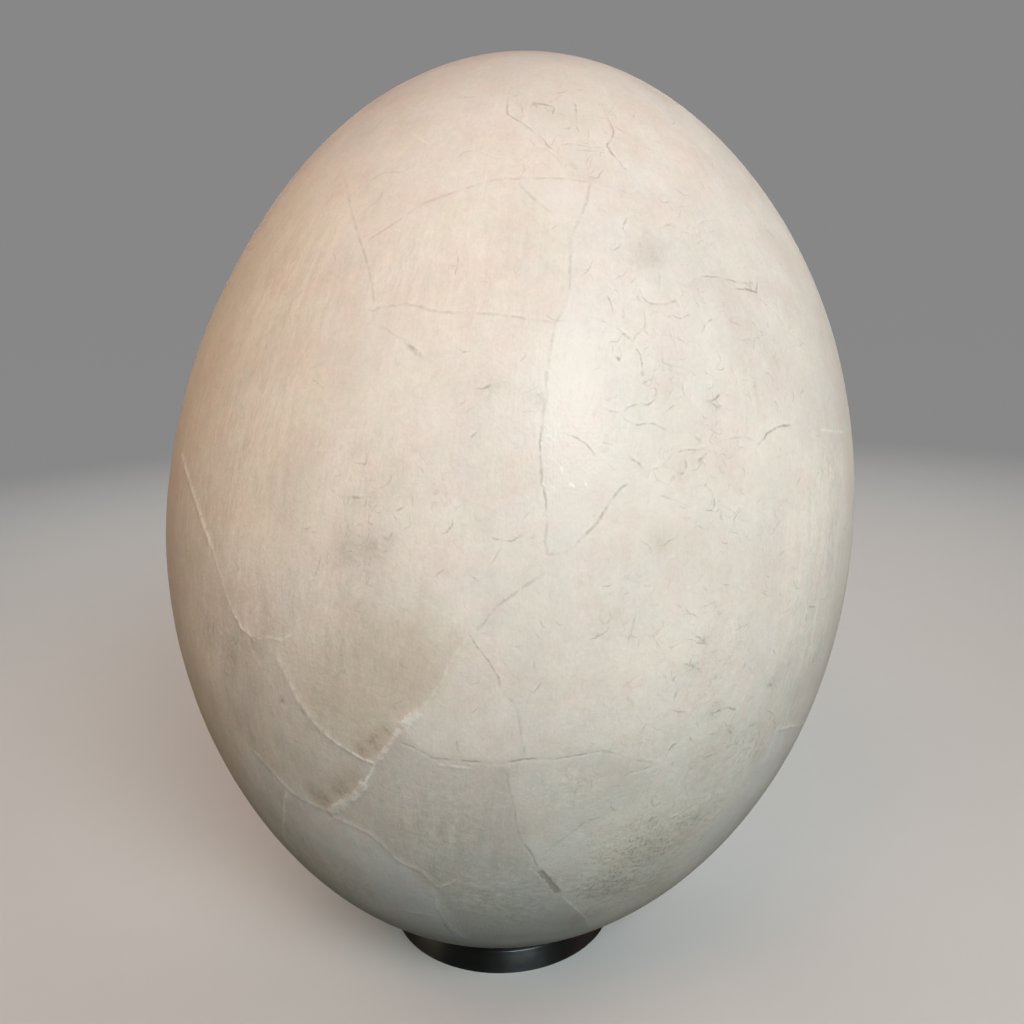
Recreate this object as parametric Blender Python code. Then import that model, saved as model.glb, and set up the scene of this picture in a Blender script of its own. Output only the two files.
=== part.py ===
"""An elephant bird egg, mended from its shell fragments, standing in a low metal ring.

Metres, +Z up. The egg leans a little towards +X in its ring, and its best side faces -Y. The
origin is on the surface that the ring stands on, below the middle of the egg.
"""

import math
from typing import NamedTuple

import bmesh
import bpy
import numpy as np

MILLIMETRE = 0.001

# Egg: along its long axis, across its widest place, its lean towards +X, and how far its lowest
# point hangs above the surface that the ring stands on
EGG_LENGTH = 0.310
EGG_WIDTH = 0.2326
EGG_LEAN = math.radians(4.85)
EGG_CLEARANCE = 0.0010

# How the half width departs from an ellipse, by powers of the rise (-1 at the foot, 1 at the crown)
WIDTH_SKEW = -0.0205
WIDTH_POINTED = -0.0501
WIDTH_CUBIC = 0.0209

# How the mending left one side fuller than the other: waves down the egg from crown to foot
SIDE_WAVE_DOUBLE = 0.0070
SIDE_WAVE_TRIPLE = -0.0049
SIDE_WAVE_SHORT = -0.0085

# Ring: outer radius, bore, and the band of its conical seat that faces the egg
RING_RADIUS = 0.0420
RING_BORE_RADIUS = 0.0345
SEAT_RADIUS = 0.0370
RING_CHAMFER = 0.0005
RING_SEGMENTS = 60
TOUCH_GAP = 0.0003
MERGE_DISTANCE = 0.00003
SHARP_ANGLE = math.radians(20)

# Mesh: the ball that the egg starts as, how near a seam each refining pass reaches, how near a
# corner must be to be drawn on to a seam, the points along a seam, and those of the trial shell
BALL_SUBDIVISIONS = 5
REFINE_REACHES = (0.0046, 0.0018)
SNAP_REACH = 0.0010
ROUTE_STEP = 0.004
LEAST_ROUTE_POINTS = 3
TRIAL_SAMPLES = 720

# Relief of the seams: half width and rise, with grooves going in
RIDGE_HALF_WIDTH = 0.0026
RIDGE_RISE = 0.0006
BAND_HALF_WIDTH = 0.0036
BAND_RISE = 0.0009
CRACK_HALF_WIDTH = 0.0022
CRACK_RISE = -0.0005
GOUGE_HALF_WIDTH = 0.0028
GOUGE_RISE = -0.0016

# The seams count their turn from the front, -Y, and the shell counts it from +X
FRONT_TURN = -90

SHELL_COLOUR = (0.80, 0.74, 0.62, 1.0)
SHELL_ROUGHNESS = 0.60
METAL_COLOUR = (0.36, 0.37, 0.38, 1.0)
METAL_ROUGHNESS = 0.35


class Seam(NamedTuple):
    """A line on the shell: (degrees round from -Y towards +X, millimetres above the egg's middle)."""

    route: tuple
    half_width: float
    rise: float


LEFT_RIDGE = ((-64, 31), (-54, 22), (-48, 13), (-43, 0), (-39, -8), (-36, -13))
LEFT_SPUR = ((-39, -8), (-34, -9), (-30, -5))
INNER_RIDGE = ((-33, -13), (-30, -20), (-26, -30), (-20, -36), (-17, -37))
UPPER_BAND = ((-10, -14), (-12, -20), (-14, -26), (-16, -34))
LOWER_BAND = ((-17, -37), (-20, -45), (-23, -54), (-27, -61))
LEFT_ARC = ((-38, -50), (-34, -58), (-30, -60), (-27, -61))
FOOT_SEAM = ((-27, -61), (-22, -64), (-17, -71), (-12, -77), (-10, -92), (-10, -104), (-6, -128))
LEVEL_CRACK = ((-15, -30), (-9, -32), (0, -32), (6, -30), (11, -28), (16, -31))
MIDDLE_CRACK = ((10, 115), (6, 100), (6, 89), (3, 78), (2, 50), (3, 26), (7, 30), (13, 42))
DROP_CRACK = ((1, -34), (1, -44), (3, -58), (7, -70))
GOUGE = ((7, -71), (9, -77), (11, -83))
SLASH = ((-21, 75), (-15, 70))
BACK_UPRIGHT = ((168, 118), (174, 84), (165, 52), (172, 16), (163, -22), (170, -60), (162, -104))
BACK_LEVEL = ((118, 36), (131, 44), (148, 38), (166, 48), (184, 40), (203, 52), (222, 45))
BACK_SLANT = ((224, -14), (210, -34), (196, -40), (182, -56), (170, -60))
BACK_HOOK = ((112, -40), (124, -52), (140, -48), (152, -64), (149, -86))
SIDE_RIDGE = ((88, 60), (96, 38), (92, 10), (101, -16), (98, -44))
FAR_RIDGE = ((-92, 84), (-98, 52), (-90, 30), (-97, 2), (-92, -30), (-100, -62))

RIDGES = (LEFT_RIDGE, LEFT_SPUR, INNER_RIDGE, LEFT_ARC, FOOT_SEAM, BACK_SLANT, SIDE_RIDGE, FAR_RIDGE)
BANDS = (UPPER_BAND, LOWER_BAND, BACK_HOOK)
CRACKS = (LEVEL_CRACK, MIDDLE_CRACK, DROP_CRACK, BACK_UPRIGHT, BACK_LEVEL)
GOUGES = (GOUGE, SLASH)


def all_seams():
    """Every seam with its relief."""
    kinds = (
        (RIDGES, RIDGE_HALF_WIDTH, RIDGE_RISE),
        (BANDS, BAND_HALF_WIDTH, BAND_RISE),
        (CRACKS, CRACK_HALF_WIDTH, CRACK_RISE),
        (GOUGES, GOUGE_HALF_WIDTH, GOUGE_RISE),
    )
    return [Seam(route, width, rise) for routes, width, rise in kinds for route in routes]


def shell_point(rise, turn):
    """The upright egg's surface at a rise of -1 to 1 and a turn from +X towards +Y, in radians."""
    polar = np.arccos(np.clip(rise, -1.0, 1.0))
    taper = 1 + WIDTH_SKEW * rise + WIDTH_POINTED * rise**2 + WIDTH_CUBIC * rise**3
    waves = (
        SIDE_WAVE_DOUBLE * np.sin(2 * polar)
        + SIDE_WAVE_TRIPLE * np.sin(3 * polar)
        + SIDE_WAVE_SHORT * np.sin(polar) * np.cos(4 * polar)
    )
    radius = EGG_WIDTH / 2 * np.sin(polar) * taper * (1 + np.cos(turn) * waves)
    return np.stack([radius * np.cos(turn), radius * np.sin(turn), EGG_LENGTH / 2 * rise], axis=-1)


def shell_from_ball(directions):
    """Unit directions carried out on to the upright egg."""
    return shell_point(directions[:, 2], np.arctan2(directions[:, 1], directions[:, 0]))


def route_on_shell(route):
    """A seam's route as closely spaced points on the upright egg."""
    corners = np.array(route, dtype=float)
    rises = corners[:, 1] * MILLIMETRE / (EGG_LENGTH / 2)
    turns = np.radians(corners[:, 0] + FRONT_TURN)
    marks = shell_point(rises, turns)
    runs = np.linalg.norm(np.diff(marks, axis=0), axis=1)
    places = np.concatenate([[0.0], np.cumsum(runs)])
    count = max(LEAST_ROUTE_POINTS, int(places[-1] / ROUTE_STEP))
    steps = np.linspace(0.0, places[-1], count)
    return shell_point(np.interp(steps, places, rises), np.interp(steps, places, turns))


def nearest_on_route(points, line):
    """For each point, its distance from a polyline and the nearest place on it."""
    starts = line[:-1]
    legs = np.diff(line, axis=0)
    offsets = points[:, None, :] - starts[None, :, :]
    along = np.clip((offsets * legs).sum(-1) / (legs * legs).sum(-1), 0.0, 1.0)
    nearest = starts[None, :, :] + along[..., None] * legs[None, :, :]
    distances = np.linalg.norm(points[:, None, :] - nearest, axis=-1)
    best = distances.argmin(axis=1)
    rows = np.arange(len(points))
    return distances[rows, best], nearest[rows, best]


def refine_near(mesh, lines, reach):
    """Split the ball's triangles that lie within reach of a seam, keeping every corner on the ball."""
    centres = np.array([face.calc_center_median().normalized() for face in mesh.faces])
    places = shell_from_ball(centres)
    near = np.zeros(len(places), dtype=bool)
    for line in lines:
        near |= nearest_on_route(places, line)[0] < reach
    edges = {edge for face, close in zip(mesh.faces, near) if close for edge in face.edges}
    bmesh.ops.subdivide_edges(mesh, edges=sorted(edges, key=lambda edge: edge.index), cuts=1)
    bmesh.ops.triangulate(mesh, faces=[face for face in mesh.faces if len(face.verts) > 3])
    for vert in mesh.verts:
        vert.co.normalize()
    mesh.verts.index_update()
    mesh.edges.index_update()


def relief(distance, half_width, rise):
    """Height of a seam's rounded cross-section at a distance from its middle."""
    inside = np.clip(1 - (distance / half_width) ** 2, 0.0, 1.0)
    return rise * inside**2


def outward_normals(points):
    """Directions straight out of the upright egg, from its ellipse."""
    scale = np.array([EGG_WIDTH / 2, EGG_WIDTH / 2, EGG_LENGTH / 2])
    slopes = points / scale**2
    return slopes / np.linalg.norm(slopes, axis=1, keepdims=True)


def leaned(points):
    """Upright points tipped towards +X."""
    cos, sin = math.cos(EGG_LEAN), math.sin(EGG_LEAN)
    x, y, z = points[:, 0], points[:, 1], points[:, 2]
    return np.stack([x * cos + z * sin, y, z * cos - x * sin], axis=1)


def smooth_shell():
    """A close sampling of the leaned egg before any relief."""
    polar = np.linspace(0, math.pi, TRIAL_SAMPLES + 1)
    turn = np.linspace(0, math.tau, TRIAL_SAMPLES, endpoint=False)
    rises, turns = np.meshgrid(np.cos(polar), turn)
    return leaned(shell_point(rises.ravel(), turns.ravel()))


def standing_shift(points):
    """The move that centres the egg over the origin and hangs its lowest point at its clearance."""
    low, high = points.min(axis=0), points.max(axis=0)
    middle = (low + high) / 2
    return np.array([-middle[0], -middle[1], EGG_CLEARANCE - low[2]])


def lowest_at_radius(points, centre_x, radius):
    """The egg's lowest height on a circle about the ring's axis."""
    foot = points[points[:, 2] < EGG_LENGTH / 2]
    away = np.hypot(foot[:, 0] - centre_x, foot[:, 1])
    band = np.abs(away - radius) < TOUCH_GAP
    return float(foot[band][:, 2].min())


def shell_material():
    """Dry, faintly glossy shell."""
    return principled("egg_shell", SHELL_COLOUR, SHELL_ROUGHNESS, 0.0)


def ring_material():
    """Satin grey metal."""
    return principled("ring_metal", METAL_COLOUR, METAL_ROUGHNESS, 1.0)


def principled(name, colour, roughness, metallic):
    """A plain material of one colour."""
    material = bpy.data.materials.new(name)
    material.use_nodes = True
    shader = material.node_tree.nodes["Principled BSDF"]
    shader.inputs["Base Color"].default_value = colour
    shader.inputs["Roughness"].default_value = roughness
    shader.inputs["Metallic"].default_value = metallic
    return material


def add_object(name, mesh, material):
    """Put a finished mesh in the scene as one named piece."""
    data = bpy.data.meshes.new(name)
    mesh.to_mesh(data)
    mesh.free()
    data.materials.append(material)
    data.shade_smooth()
    piece = bpy.data.objects.new(name, data)
    bpy.context.scene.collection.objects.link(piece)
    return piece


def make_egg(shift):
    """The egg as one closed skin, with finer triangles where its seams stand up or cut in."""
    seams = all_seams()
    lines = [route_on_shell(seam.route) for seam in seams]
    mesh = bmesh.new()
    bmesh.ops.create_icosphere(mesh, subdivisions=BALL_SUBDIVISIONS, radius=1.0)
    for reach in REFINE_REACHES:
        refine_near(mesh, lines, reach)
    points = shell_from_ball(np.array([vert.co[:] for vert in mesh.verts], dtype=float))
    for line in lines:
        distance, nearest = nearest_on_route(points, line)
        close = distance < SNAP_REACH
        points[close] = nearest[close]
    height = np.zeros(len(points))
    for seam, line in zip(seams, lines):
        wave = relief(nearest_on_route(points, line)[0], seam.half_width, seam.rise)
        height = np.where(np.abs(wave) > np.abs(height), wave, height)
    points += outward_normals(points) * height[:, None]
    for vert, place in zip(mesh.verts, leaned(points) + shift):
        vert.co = place
    bmesh.ops.recalc_face_normals(mesh, faces=mesh.faces)
    return add_object("egg", mesh, shell_material())


def make_ring(centre_x, top_height, seat_foot_height):
    """The ring: a turned profile with a cone inside its top edge where the egg sits."""
    profile = (
        (RING_BORE_RADIUS + RING_CHAMFER, 0.0),
        (RING_RADIUS - RING_CHAMFER, 0.0),
        (RING_RADIUS, RING_CHAMFER),
        (RING_RADIUS, top_height - RING_CHAMFER),
        (RING_RADIUS - RING_CHAMFER, top_height),
        (SEAT_RADIUS, top_height),
        (RING_BORE_RADIUS, seat_foot_height),
        (RING_BORE_RADIUS, RING_CHAMFER),
    )
    mesh = bmesh.new()
    verts = [mesh.verts.new((radius, 0.0, height)) for radius, height in profile]
    edges = [mesh.edges.new((verts[index - 1], verts[index])) for index in range(len(verts))]
    bmesh.ops.spin(
        mesh, geom=verts + edges, cent=(0, 0, 0), axis=(0, 0, 1), angle=math.tau,
        steps=RING_SEGMENTS, use_merge=True,
    )
    bmesh.ops.remove_doubles(mesh, verts=mesh.verts, dist=MERGE_DISTANCE)
    bmesh.ops.recalc_face_normals(mesh, faces=mesh.faces)
    ring = add_object("ring_stand", mesh, ring_material())
    ring.data.set_sharp_from_angle(angle=SHARP_ANGLE)
    ring.location.x = centre_x
    return ring


def main():
    """Clear the scene, then make the egg and the ring that holds it."""
    for item in list(bpy.data.objects):
        bpy.data.objects.remove(item, do_unlink=True)
    shell = smooth_shell()
    shift = standing_shift(shell)
    shell = shell + shift
    ring_x = float(shell[shell[:, 2].argmin(), 0])
    make_egg(shift)
    make_ring(
        ring_x,
        lowest_at_radius(shell, ring_x, SEAT_RADIUS) - TOUCH_GAP,
        lowest_at_radius(shell, ring_x, RING_BORE_RADIUS) - TOUCH_GAP,
    )


main()
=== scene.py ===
"""The finish of a mended elephant bird egg and of the turned metal ring that it stands in.

The egg's form is one formula. Its seams, cracks, stains and mended fragments are lines and areas carried on
to that form. Those of its front are placed in a square picture of 1024 pixels that PictureCamera takes.
Those of its sides and back are placed by their turn round the egg and their height on it.
"""

import logging
import math
from dataclasses import dataclass
from enum import Enum
from functools import cached_property, reduce
from typing import Callable, Iterable, Union

import bpy
import numpy as np
from mathutils import Matrix, Vector


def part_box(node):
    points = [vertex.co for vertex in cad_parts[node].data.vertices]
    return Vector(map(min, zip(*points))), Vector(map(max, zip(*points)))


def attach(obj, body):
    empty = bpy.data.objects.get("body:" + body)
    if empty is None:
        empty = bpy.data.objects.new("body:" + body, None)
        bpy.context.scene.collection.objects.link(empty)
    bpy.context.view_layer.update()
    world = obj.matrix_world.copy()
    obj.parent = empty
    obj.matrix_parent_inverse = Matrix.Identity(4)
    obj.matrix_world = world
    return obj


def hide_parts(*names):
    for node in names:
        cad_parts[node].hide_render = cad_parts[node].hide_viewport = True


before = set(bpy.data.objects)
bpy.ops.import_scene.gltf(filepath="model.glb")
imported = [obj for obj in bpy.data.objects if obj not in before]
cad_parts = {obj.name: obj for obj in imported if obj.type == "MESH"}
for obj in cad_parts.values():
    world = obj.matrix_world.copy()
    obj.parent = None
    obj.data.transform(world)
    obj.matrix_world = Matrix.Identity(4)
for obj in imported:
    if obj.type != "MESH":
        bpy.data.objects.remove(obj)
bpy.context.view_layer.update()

LOG = logging.getLogger("egg")
MM = 0.001
# How many steps of weight a vertex group has
WEIGHT_STEPS = 250
# What is taken from a random vector to swing it about 0
MIDDLE = (0.5, 0.5, 0.5)

Place = tuple[float, float]
Route = tuple[tuple[float, ...], ...]
Triple = tuple[float, float, float]
Colour = Triple
# Scale, detail and roughness
Noise = Triple
Socket = bpy.types.NodeSocket
Feed = Union[Socket, float, tuple]


def smooth_step(value: np.ndarray, low: float, high: float) -> np.ndarray:
    """A value's smooth way from 0 at low to 1 at high.

    Args:
        value: The numbers to judge.
        low: Where the way starts.
        high: Where it ends, which may be below low.

    Returns:
        Numbers from 0 to 1.
    """
    way = np.clip((value - low) / (high - low), 0.0, 1.0)
    return way * way * (3 - 2 * way)


@dataclass(frozen=True)
class EggShape:
    """The egg's smooth form, upright on its long axis until it is leaned and stood over its ring."""

    length: float = 0.310
    width: float = 0.2326
    lean: float = math.radians(4.85)
    clearance: float = 0.0010
    taper: Triple = (-0.0205, -0.0501, 0.0209)
    waves: Triple = (0.0070, -0.0049, -0.0085)
    samples: int = 720
    near_circle: float = 0.3 * MM

    def upright(self, rise: np.ndarray, turn: np.ndarray) -> np.ndarray:
        """Points of the upright egg.

        Args:
            rise: From -1 at the foot to 1 at the crown.
            turn: Radians from +X towards +Y.

        Returns:
            Points about the egg's middle.
        """
        polar = np.arccos(np.clip(rise, -1.0, 1.0))
        skew, pointed, cubic = self.taper
        double, triple, short = self.waves
        form = 1 + skew * rise + pointed * rise**2 + cubic * rise**3
        wave = double * np.sin(2 * polar) + triple * np.sin(3 * polar)
        wave = wave + short * np.sin(polar) * np.cos(4 * polar)
        radius = self.width / 2 * np.sin(polar) * form * (1 + np.cos(turn) * wave)
        height = self.length / 2 * rise
        return np.stack([radius * np.cos(turn), radius * np.sin(turn), height], axis=-1)

    def from_ball(self, ball: np.ndarray) -> np.ndarray:
        """Points of a unit ball carried out on to the upright egg."""
        return self.upright(ball[:, 2], np.arctan2(ball[:, 1], ball[:, 0]))

    def at(self, places: Iterable[Place]) -> np.ndarray:
        """Upright points at (degrees from -Y towards +X, millimetres above the middle)."""
        marks = np.array(list(places), dtype=float)
        return self.upright(marks[:, 1] * MM / (self.length / 2), np.radians(marks[:, 0] - 90))

    def place_of(self, points: np.ndarray) -> np.ndarray:
        """The (degrees, millimetres) of upright points, the inverse of at."""
        turn = np.degrees(np.arctan2(points[:, 1], points[:, 0])) + 90
        return np.stack([(turn + 180) % 360 - 180, points[:, 2] / MM], axis=1)

    def outside(self, points: np.ndarray) -> np.ndarray:
        """How far upright points lie outside the surface, measured level."""
        turn = np.arctan2(points[..., 1], points[..., 0])
        surface = self.upright(points[..., 2] / (self.length / 2), turn)
        return np.hypot(points[..., 0], points[..., 1]) - np.hypot(surface[..., 0], surface[..., 1])

    def normals(self, points: np.ndarray) -> np.ndarray:
        """Directions straight out of the upright egg, from its ellipse."""
        slopes = points / np.array([self.width, self.width, self.length]) ** 2
        return slopes / np.linalg.norm(slopes, axis=1, keepdims=True)

    def tipped(self, points: np.ndarray, angle: float) -> np.ndarray:
        """Points turned about Y, so that a positive angle leans them towards +X."""
        cos, sin = math.cos(angle), math.sin(angle)
        x, y, z = points[..., 0], points[..., 1], points[..., 2]
        return np.stack([x * cos + z * sin, y, z * cos - x * sin], axis=-1)

    @cached_property
    def leaned_samples(self) -> np.ndarray:
        """A close sampling of the leaned egg about its middle."""
        polar = np.linspace(0, math.pi, self.samples + 1)
        turn = np.linspace(0, math.tau, self.samples, endpoint=False)
        rises, turns = np.meshgrid(np.cos(polar), turn)
        return self.tipped(self.upright(rises.ravel(), turns.ravel()), self.lean)

    @cached_property
    def middle(self) -> np.ndarray:
        """Where the egg's middle stands in the world."""
        low, high = self.leaned_samples.min(axis=0), self.leaned_samples.max(axis=0)
        return np.array([-(low[0] + high[0]) / 2, -(low[1] + high[1]) / 2, self.clearance - low[2]])

    def stand(self, points: np.ndarray) -> np.ndarray:
        """Upright points moved to where the egg stands."""
        return self.tipped(points, self.lean) + self.middle

    def height_over_circle(self, centre_x: float, radius: float) -> float:
        """The egg's lowest height above the floor on an upright cylinder.

        Args:
            centre_x: The cylinder's axis, on the X axis.
            radius: Its radius.

        Returns:
            The height in metres.
        """
        points = self.leaned_samples + self.middle
        away = np.abs(np.hypot(points[:, 0] - centre_x, points[:, 1]) - radius)
        near = (away < self.near_circle) & (points[:, 2] < self.length / 2)
        return float(points[near][:, 2].min())


@dataclass(frozen=True)
class PictureCamera:
    """The camera, and the way from a pixel of its picture to the shell."""

    picture_size: int = 1024
    focal_pixels: float = 1050.0
    sensor_width: float = 36.0
    pitch: float = math.radians(15.806)
    roll: float = math.radians(-1.3)
    from_egg: Triple = (0.00064, -0.35869, 0.10555)
    near: float = 0.15
    far: float = 0.55
    steps: int = 500
    halvings: int = 24
    clip_start: float = 0.01

    @property
    def axes(self) -> np.ndarray:
        """The camera's own X, Y and Z directions in the world, one a row."""
        cos, sin = math.cos(self.roll), math.sin(self.roll)
        right = np.array([1.0, 0.0, 0.0])
        up = np.array([0.0, math.sin(self.pitch), math.cos(self.pitch)])
        back = np.array([0.0, -math.cos(self.pitch), math.sin(self.pitch)])
        return np.array([cos * right + sin * up, cos * up - sin * right, back])

    def cast(self, shape: EggShape, pixels: Iterable[Place]) -> np.ndarray:
        """Where pixels of the picture fall on the shell.

        Args:
            shape: The egg.
            pixels: Places in the picture, from its upper left corner.

        Returns:
            Points of the upright egg. A pixel beside the egg gives the nearest point of its outline.
        """
        offsets = (np.array(list(pixels), dtype=float) - self.picture_size / 2) / self.focal_pixels
        across, up, back = self.axes
        rays = offsets[:, :1] * across - offsets[:, 1:] * up - back
        rays = shape.tipped(rays / np.linalg.norm(rays, axis=1, keepdims=True), -shape.lean)
        eye = shape.tipped(np.array(self.from_egg), -shape.lean)
        reach = np.linspace(self.near, self.far, self.steps)
        gaps = shape.outside(eye + rays[:, None] * reach[None, :, None])
        inside = gaps < 0
        first = np.where(inside.any(axis=1), inside.argmax(axis=1), gaps.argmin(axis=1))
        low, high = reach[np.maximum(first - 1, 0)], reach[first]
        for _ in range(self.halvings):
            middle = (low + high) / 2
            clear = shape.outside(eye + rays * middle[:, None]) > 0
            low, high = np.where(clear, middle, low), np.where(clear, high, middle)
        return eye + rays * high[:, None]

    def place(self, shape: EggShape) -> bpy.types.Object:
        """Puts the camera in the scene, where it stands before the egg."""
        lens = bpy.data.cameras.new("picture_camera")
        lens.sensor_width = self.sensor_width
        lens.lens = self.focal_pixels * self.sensor_width / self.picture_size
        lens.clip_start = self.clip_start
        camera = bpy.data.objects.new("picture_camera", lens)
        bpy.context.scene.collection.objects.link(camera)
        turned = Matrix([list(axis) for axis in self.axes]).transposed().to_4x4()
        spot = shape.middle + np.array(self.from_egg)
        camera.matrix_world = Matrix.Translation(Vector(spot)) @ turned
        bpy.context.scene.camera = camera
        return camera


@dataclass(frozen=True)
class LineLook:
    """A line on the shell.

    half_width and rise_half_width are in millimetres, of its colour and of its relief. rise is its relief in
    millimetres, less than 0 for a groove. tone runs from -1, dark, to 1, pale.
    """

    half_width: float
    tone: float
    rise: float = 0.0
    rise_half_width: float = 1.0


class LineKind(Enum):
    """The kinds of line on the shell."""

    THICK_FILLING = LineLook(1.50, 0.78, 0.26, 2.4)
    BROAD_FILLING = LineLook(0.85, 1.10, 0.12, 1.7)
    FILLING = LineLook(0.44, 1.00, 0.10, 1.1)
    SOFT_FILLING = LineLook(0.60, 0.50, 0.08, 1.6)
    BAND = LineLook(0.75, 0.62, 0.10, 1.6)
    THIN_FILLING = LineLook(0.38, 0.72, 0.05, 0.9)
    PALE_HAIR = LineLook(0.30, 0.55)
    FAINT_PALE = LineLook(0.50, 0.26)
    # A painted highlight: pale flecks where a lamp glints on the shell
    PAINTED_GLINT = LineLook(0.36, 1.15)
    SEAM = LineLook(0.36, -0.44, -0.04, 0.8)
    FAINT_SEAM = LineLook(0.42, -0.24, -0.02, 0.8)
    CRACK = LineLook(0.32, -0.55, -0.03, 0.7)
    HAIR_CRACK = LineLook(0.27, -0.42)
    FAINT_HAIR = LineLook(0.27, -0.22)
    SLASH = LineLook(0.58, -0.70, -0.08, 1.2)
    GASH = LineLook(0.95, -0.62, -0.14, 1.5)
    KNOT = LineLook(0.36, -0.58, -0.01, 0.7)


def rows(text: str) -> Route:
    """Rows of numbers, from text such as 590,183 587,201."""
    return tuple(tuple(map(float, row.split(","))) for row in text.split())


@dataclass(frozen=True)
class Lines:
    """Lines of one kind: the corners of each, with a slash between one line and the next."""

    kind: LineKind
    places: str

    @property
    def routes(self) -> list[Route]:
        """The corners of each line."""
        return [rows(route) for route in self.places.split("/")]


@dataclass(frozen=True)
class Fragment:
    """A piece of the broken shell, inside an outline whose corners are text for rows.

    lightness and warmth are shares of the colour, lift is how far it stands proud in millimetres, gloss is
    how much smoother it is, and softness is how far its edge fades in millimetres.
    """

    outline: str
    lightness: float = 0.0
    warmth: float = 0.0
    lift: float = 0.0
    gloss: float = 0.0
    softness: float = 0.6


class BlotKind(Enum):
    """What gathers in a soft spot on the shell."""

    STREAKS = 0
    PITS = 1
    WORMS = 2
    BROWN = 3
    GREY = 4
    DASHES = 5


@dataclass(frozen=True)
class Blots:
    """Soft spots of one kind, as text for rows: place, place, radius in millimetres, strength from 0 to 1."""

    kind: BlotKind
    spots: str


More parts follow.
